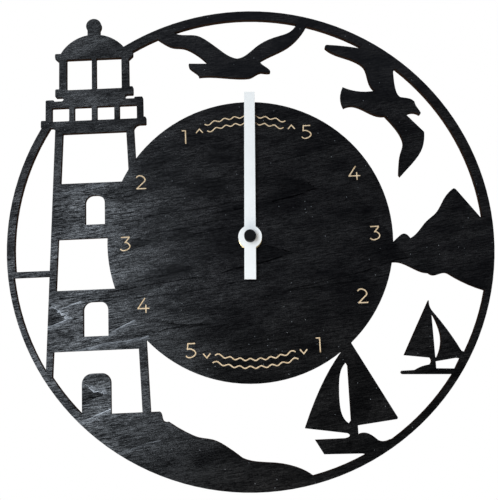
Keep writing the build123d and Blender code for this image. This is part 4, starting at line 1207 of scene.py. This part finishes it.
@dataclass
class MotionWork(Assembly):
    """Wheels between the arbor and the hand, with the setting knob."""

    body: str = "knob"
    nodes: tuple[str, ...] = ("minute_wheel", "cannon_pinion")
    knob_edge: float = 0.14
    knob_middle: Triple = (18.96, -0.4, -25.1509)
    arrow_radius: float = 3.1
    arrow_width: float = 0.7
    arrow_rise: float = 0.3
    arrow_sweep: float = 250.0
    arrow_facets: int = 36
    head_radius: float = 1.15
    head_rise: float = 0.66

    def arrow(self, knob: Form) -> None:
        """Raise a curved arrow on the knob's back, to show that it turns.

        Args:
            knob: The knob, which takes the arrow.
        """
        mesh = knob.mesh
        middle = Vector(self.knob_middle) * MM
        half, rise = self.arrow_width / 2 * MM, self.arrow_rise * MM
        spot = middle + Vector((self.arrow_radius * MM, 0, 0))
        start = bmesh.ops.create_grid(mesh, x_segments=1, y_segments=1, size=half)["verts"]
        bmesh.ops.scale(mesh, vec=(1, rise / half, 1), verts=start)
        bmesh.ops.translate(mesh, vec=spot, verts=start)
        face = list({face for vert in start for face in vert.link_faces})
        edges = list({edge for vert in start for edge in vert.link_edges})
        bmesh.ops.spin(mesh, geom=start + edges + face, cent=middle, axis=(0, 1, 0),
                       angle=math.radians(self.arrow_sweep), steps=self.arrow_facets)
        head = bmesh.ops.create_cone(mesh, cap_ends=True, segments=3, radius1=self.head_radius * MM,
                                     radius2=self.head_radius * MM, depth=self.head_rise * MM)["verts"]
        bmesh.ops.rotate(mesh, cent=(0, 0, 0), matrix=Matrix.Rotation(math.radians(90), 3, "X"), verts=head)
        bmesh.ops.translate(mesh, vec=spot, verts=head)

    def build(self) -> None:
        """Finish the knob with its arrow, and dress the wheels."""
        knob = self.wardrobe.rounded("set_knob", self.knob_edge)
        self.arrow(knob)
        self.wardrobe.hang(knob, "setting_knob", self.body, "set_knob")
        super().build()


@dataclass
class GoingTrain(Assembly):
    """Wheels from the stepping motor to the centre."""

    nodes: tuple[str, ...] = ("centre_wheel", "friction_spring", "third_wheel", "fourth_wheel", "fifth_wheel")


@dataclass
class SteppingMotor(Assembly):
    """Rotor, stator and the wound coil.

    Each corner of a ridge is its fall from the crest and its place along the turn, in shares of the pitch.
    """

    nodes: tuple[str, ...] = ("rotor_pinion", "rotor_magnet", "stator", "coil_core", "coil_bobbin")
    coil_radius: float = 2.9
    coil_bore: float = 2.02
    wire: float = 0.24
    ridge: Profile = ((0.12, 0.2), (0.0, 0.5), (0.12, 0.8), (0.5, 1.0))
    facets: int = 40

    def winding(self) -> Form:
        """Wind the coil, one ridge for each turn of the outer layer.

        Returns:
            The winding.
        """
        low, high = (Vector(corner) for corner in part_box("coil_winding"))
        middle = self.wardrobe.middle("coil_winding")
        half = (high.x - low.x) / 2 / MM
        turns = round(2 * half / self.wire)
        pitch = 2 * half / turns
        profile = [(self.coil_bore, -half), (self.coil_radius - pitch / 2, -half)]
        for turn in range(turns):
            start = -half + turn * pitch
            profile += [(self.coil_radius - fall * pitch, start + place * pitch)
                        for fall, place in self.ridge]
        profile.append((self.coil_bore, half))
        return Form.turned(profile, middle, Axis.RIGHT, self.facets, closed=True)

    def build(self) -> None:
        """Wind the coil and dress the rest."""
        self.wardrobe.hang(self.winding(), "wound_coil", self.body, "coil_winding")
        super().build()


@dataclass
class Circuit(Assembly):
    """Board with its chip and crystal."""

    nodes: tuple[str, ...] = ("circuit_board",)
    chip_edge: float = 0.12
    can_edge: float = 0.2

    def build(self) -> None:
        """Round the chip and the crystal's can, and dress the board."""
        pieces = (("chip", "driver_chip", self.chip_edge), ("quartz_crystal", "crystal_tube", self.can_edge))
        self.wardrobe.hang_rounded(pieces, self.body)
        super().build()


@dataclass
class Supply(Assembly):
    """Cell and its two contacts.

    The cell's outline runs from the base's middle to the nub's. Base and seal hold radii, foot and shoulder
    are set in from the wall, and the nub from its own radius. From the shoulder on, levels count from the
    sleeve's end.
    """

    body: str = "cell"
    nodes: tuple[str, ...] = ("positive_contact", "negative_contact")
    radius: float = 7.25
    length: float = 49.5
    nub_radius: float = 2.75
    base: Profile = ((0, 0.1), (4.4, 0.1), (4.7, 0), (5.9, 0), (6.2, 0.25), (6.5, 0.3), (6.9, 0.3))
    foot: Profile = ((0.06, 0.45), (0, 0.75))
    shoulder: Profile = ((0, -2.6), (0.18, -2.3), (0.18, -1.7), (0, -1.4), (0, -0.6), (0.12, -0.2),
                         (0.5, -0.05))
    seal: Profile = ((6.4, 0), (5.6, -0.15))
    nub: Profile = ((-0.5, -0.15), (0, 0), (0, 0.72), (0.1, 0.9), (0.35, 1.0))
    facets: int = 72

    def cell(self) -> Form:
        """Turn the cell with its crimped ends and its positive nub.

        Returns:
            The cell.
        """
        low = Vector(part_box("battery_cell")[0])
        middle = self.wardrobe.middle("battery_cell")
        middle.x = low.x
        profile = list(self.base)
        profile += [(self.radius - inset, level) for inset, level in self.foot]
        profile += [(self.radius - inset, self.length + level) for inset, level in self.shoulder]
        profile += [(radius, self.length + level) for radius, level in self.seal]
        profile += [(self.nub_radius - inset, self.length + level) for inset, level in self.nub]
        profile.append((0, profile[-1][1]))
        return Form.turned(profile, middle, Axis.RIGHT, self.facets)

    def build(self) -> None:
        """Make the cell and dress the contacts."""
        self.wardrobe.hang(self.cell(), "dry_cell", self.body, "battery_cell")
        super().build()


ASSEMBLIES = (Fretwork, Hand, CentreFittings, MovementCase, MotionWork, GoingTrain, SteppingMotor, Circuit,
              Supply)


@dataclass(frozen=True)
class Softbox:
    """Rectangular lamp that looks at the dial's middle: degrees to the left and up, metres and watts."""

    name: str
    left: float
    up: float
    far: float
    size: Span
    power: float
    colour: Colour

    def hang(self, target: Vector) -> None:
        """Hang the lamp.

        Args:
            target: Point that it looks at.
        """
        data = bpy.data.lights.new(self.name, "AREA")
        data.shape = "RECTANGLE"
        data.size, data.size_y = self.size
        data.energy = self.power
        data.color = self.colour
        lamp = bpy.data.objects.new(self.name, data)
        side, rise = math.radians(self.left), math.radians(self.up)
        away = Vector((-math.sin(side) * math.cos(rise), -math.cos(side) * math.cos(rise), math.sin(rise)))
        lamp.location = target + away * self.far
        lamp.rotation_euler = (-away).to_track_quat("-Z", "Y").to_euler()
        lamp.visible_camera = False
        bpy.context.scene.collection.objects.link(lamp)


@dataclass
class Studio:
    """White world, softboxes, a pale floor and the camera."""

    face_middle: Triple = (0.0, -0.021, DIAL_LEVEL * MM)
    camera_offset: Triple = (-1.214, -68.945, 396.825)
    camera_turn: Triple = (8.828, 0.356, -2.482)
    focal_pixels: float = 653.88
    image_width: int = 498
    sensor: float = 36.0
    white: Colour = (1.0, 1.0, 1.0)
    ambient: float = 0.11
    ambient_tint: Colour = (0.95, 0.97, 1.0)
    floor_level: float = -0.6
    floor_radius: float = 1.4
    floor_facets: int = 96
    floor_fade: Span = (0.45, 0.98)
    floor_clouds: float = 6.0
    floor_dark: Colour = (0.84, 0.84, 0.83)
    floor_pale: Colour = (0.88, 0.88, 0.87)
    floor_roughness: float = 0.9
    lamps: tuple[Softbox, ...] = (
        Softbox("window_low_softbox", 18, -10, 1.2, (0.30, 0.20), 4.1, DAYLIGHT),
        Softbox("window_middle_softbox", 20.5, 0, 1.2, (0.40, 0.20), 3.6, DAYLIGHT),
        Softbox("window_upper_softbox", 19, 11, 1.2, (0.26, 0.26), 3.9, DAYLIGHT),
        Softbox("window_top_softbox", 20, 28.5, 1.2, (0.10, 0.34), 1.85, DAYLIGHT),
        Softbox("low_softbox", 12, -52, 0.4, (0.3, 0.2), 0.52, (1.0, 0.92, 0.80)),
        Softbox("back_softbox", 205, 35, 1.3, (0.7, 0.7), 12.0, (1.0, 0.98, 0.95)),
    )

    def camera(self) -> None:
        """Set the camera where the picture was taken from."""
        data = bpy.data.cameras.new("camera")
        data.sensor_fit = "HORIZONTAL"
        data.sensor_width = self.sensor
        data.lens = self.focal_pixels * self.sensor / self.image_width
        camera = bpy.data.objects.new("camera", data)
        stand = Matrix.Rotation(math.radians(90), 4, "X")
        turn = Euler([math.radians(angle) for angle in self.camera_turn], "XYZ").to_matrix().to_4x4()
        place = Matrix.Translation(Vector(self.camera_offset) * MM)
        camera.matrix_world = Matrix.Translation(self.face_middle) @ stand @ place @ turn
        bpy.context.scene.collection.objects.link(camera)
        bpy.context.scene.camera = camera

    def world(self) -> None:
        """White to the camera and in reflections, softer as the light on the clock."""
        world = bpy.data.worlds.new("studio")
        bpy.context.scene.world = world
        world.use_nodes = True
        tree = world.node_tree
        tree.nodes.clear()
        output = tree.nodes.new("ShaderNodeOutputWorld")
        blend = tree.nodes.new("ShaderNodeMixShader")
        shown = tree.nodes.new("ShaderNodeBackground")
        light = tree.nodes.new("ShaderNodeBackground")
        light.inputs["Color"].default_value = (*self.ambient_tint, 1.0)
        light.inputs["Strength"].default_value = self.ambient
        path = tree.nodes.new("ShaderNodeLightPath")
        seen = path.outputs["Is Camera Ray"]
        for name in ("Is Glossy Ray", "Is Transmission Ray"):
            most = tree.nodes.new("ShaderNodeMath")
            most.operation = Calc.MOST.value
            tree.links.new(seen, most.inputs[0])
            tree.links.new(path.outputs[name], most.inputs[1])
            seen = most.outputs[0]
        tree.links.new(seen, blend.inputs[0])
        tree.links.new(light.outputs[0], blend.inputs[1])
        tree.links.new(shown.outputs[0], blend.inputs[2])
        shown.inputs["Color"].default_value = (*self.white, 1.0)
        tree.links.new(blend.outputs[0], output.inputs[0])

    def floor(self) -> None:
        """Pale round floor that fades into the white around it."""
        shape = bmesh.new()
        bmesh.ops.create_circle(shape, cap_ends=True, segments=self.floor_facets, radius=self.floor_radius)
        bmesh.ops.translate(shape, verts=shape.verts, vec=(0, 0, self.floor_level))
        mesh = bpy.data.meshes.new("floor")
        shape.to_mesh(mesh)
        shape.free()
        graph = Graph("floor_paper")
        flat = graph.mapped(graph.points, (1, 1, 0))
        limits = [share * self.floor_radius for share in self.floor_fade]
        fade = graph.ease(graph.length(flat), *limits, 1.0, 0.0)
        tint = graph.mix(graph.noise(graph.points, self.floor_clouds), self.floor_dark, self.floor_pale)
        graph.close(Base_Color=tint, Roughness=self.floor_roughness, Alpha=fade)
        mesh.materials.append(graph.material)
        floor = bpy.data.objects.new("floor", mesh)
        bpy.context.scene.collection.objects.link(floor)

    def build(self) -> None:
        """Set up camera, world, lamps and floor."""
        self.camera()
        self.world()
        for lamp in self.lamps:
            lamp.hang(Vector(self.face_middle))
        self.floor()
        bpy.context.scene.view_settings.view_transform = "Standard"


def main() -> None:
    """Load the clock, light it, and build and dress each sub-assembly."""
    logging.basicConfig(level=logging.INFO, format="%(name)s: %(message)s")
    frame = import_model()
    Studio().build()
    wardrobe = Wardrobe(frame)
    for assembly in ASSEMBLIES:
        assembly(wardrobe).build()


if __name__ == "__main__":
    main()
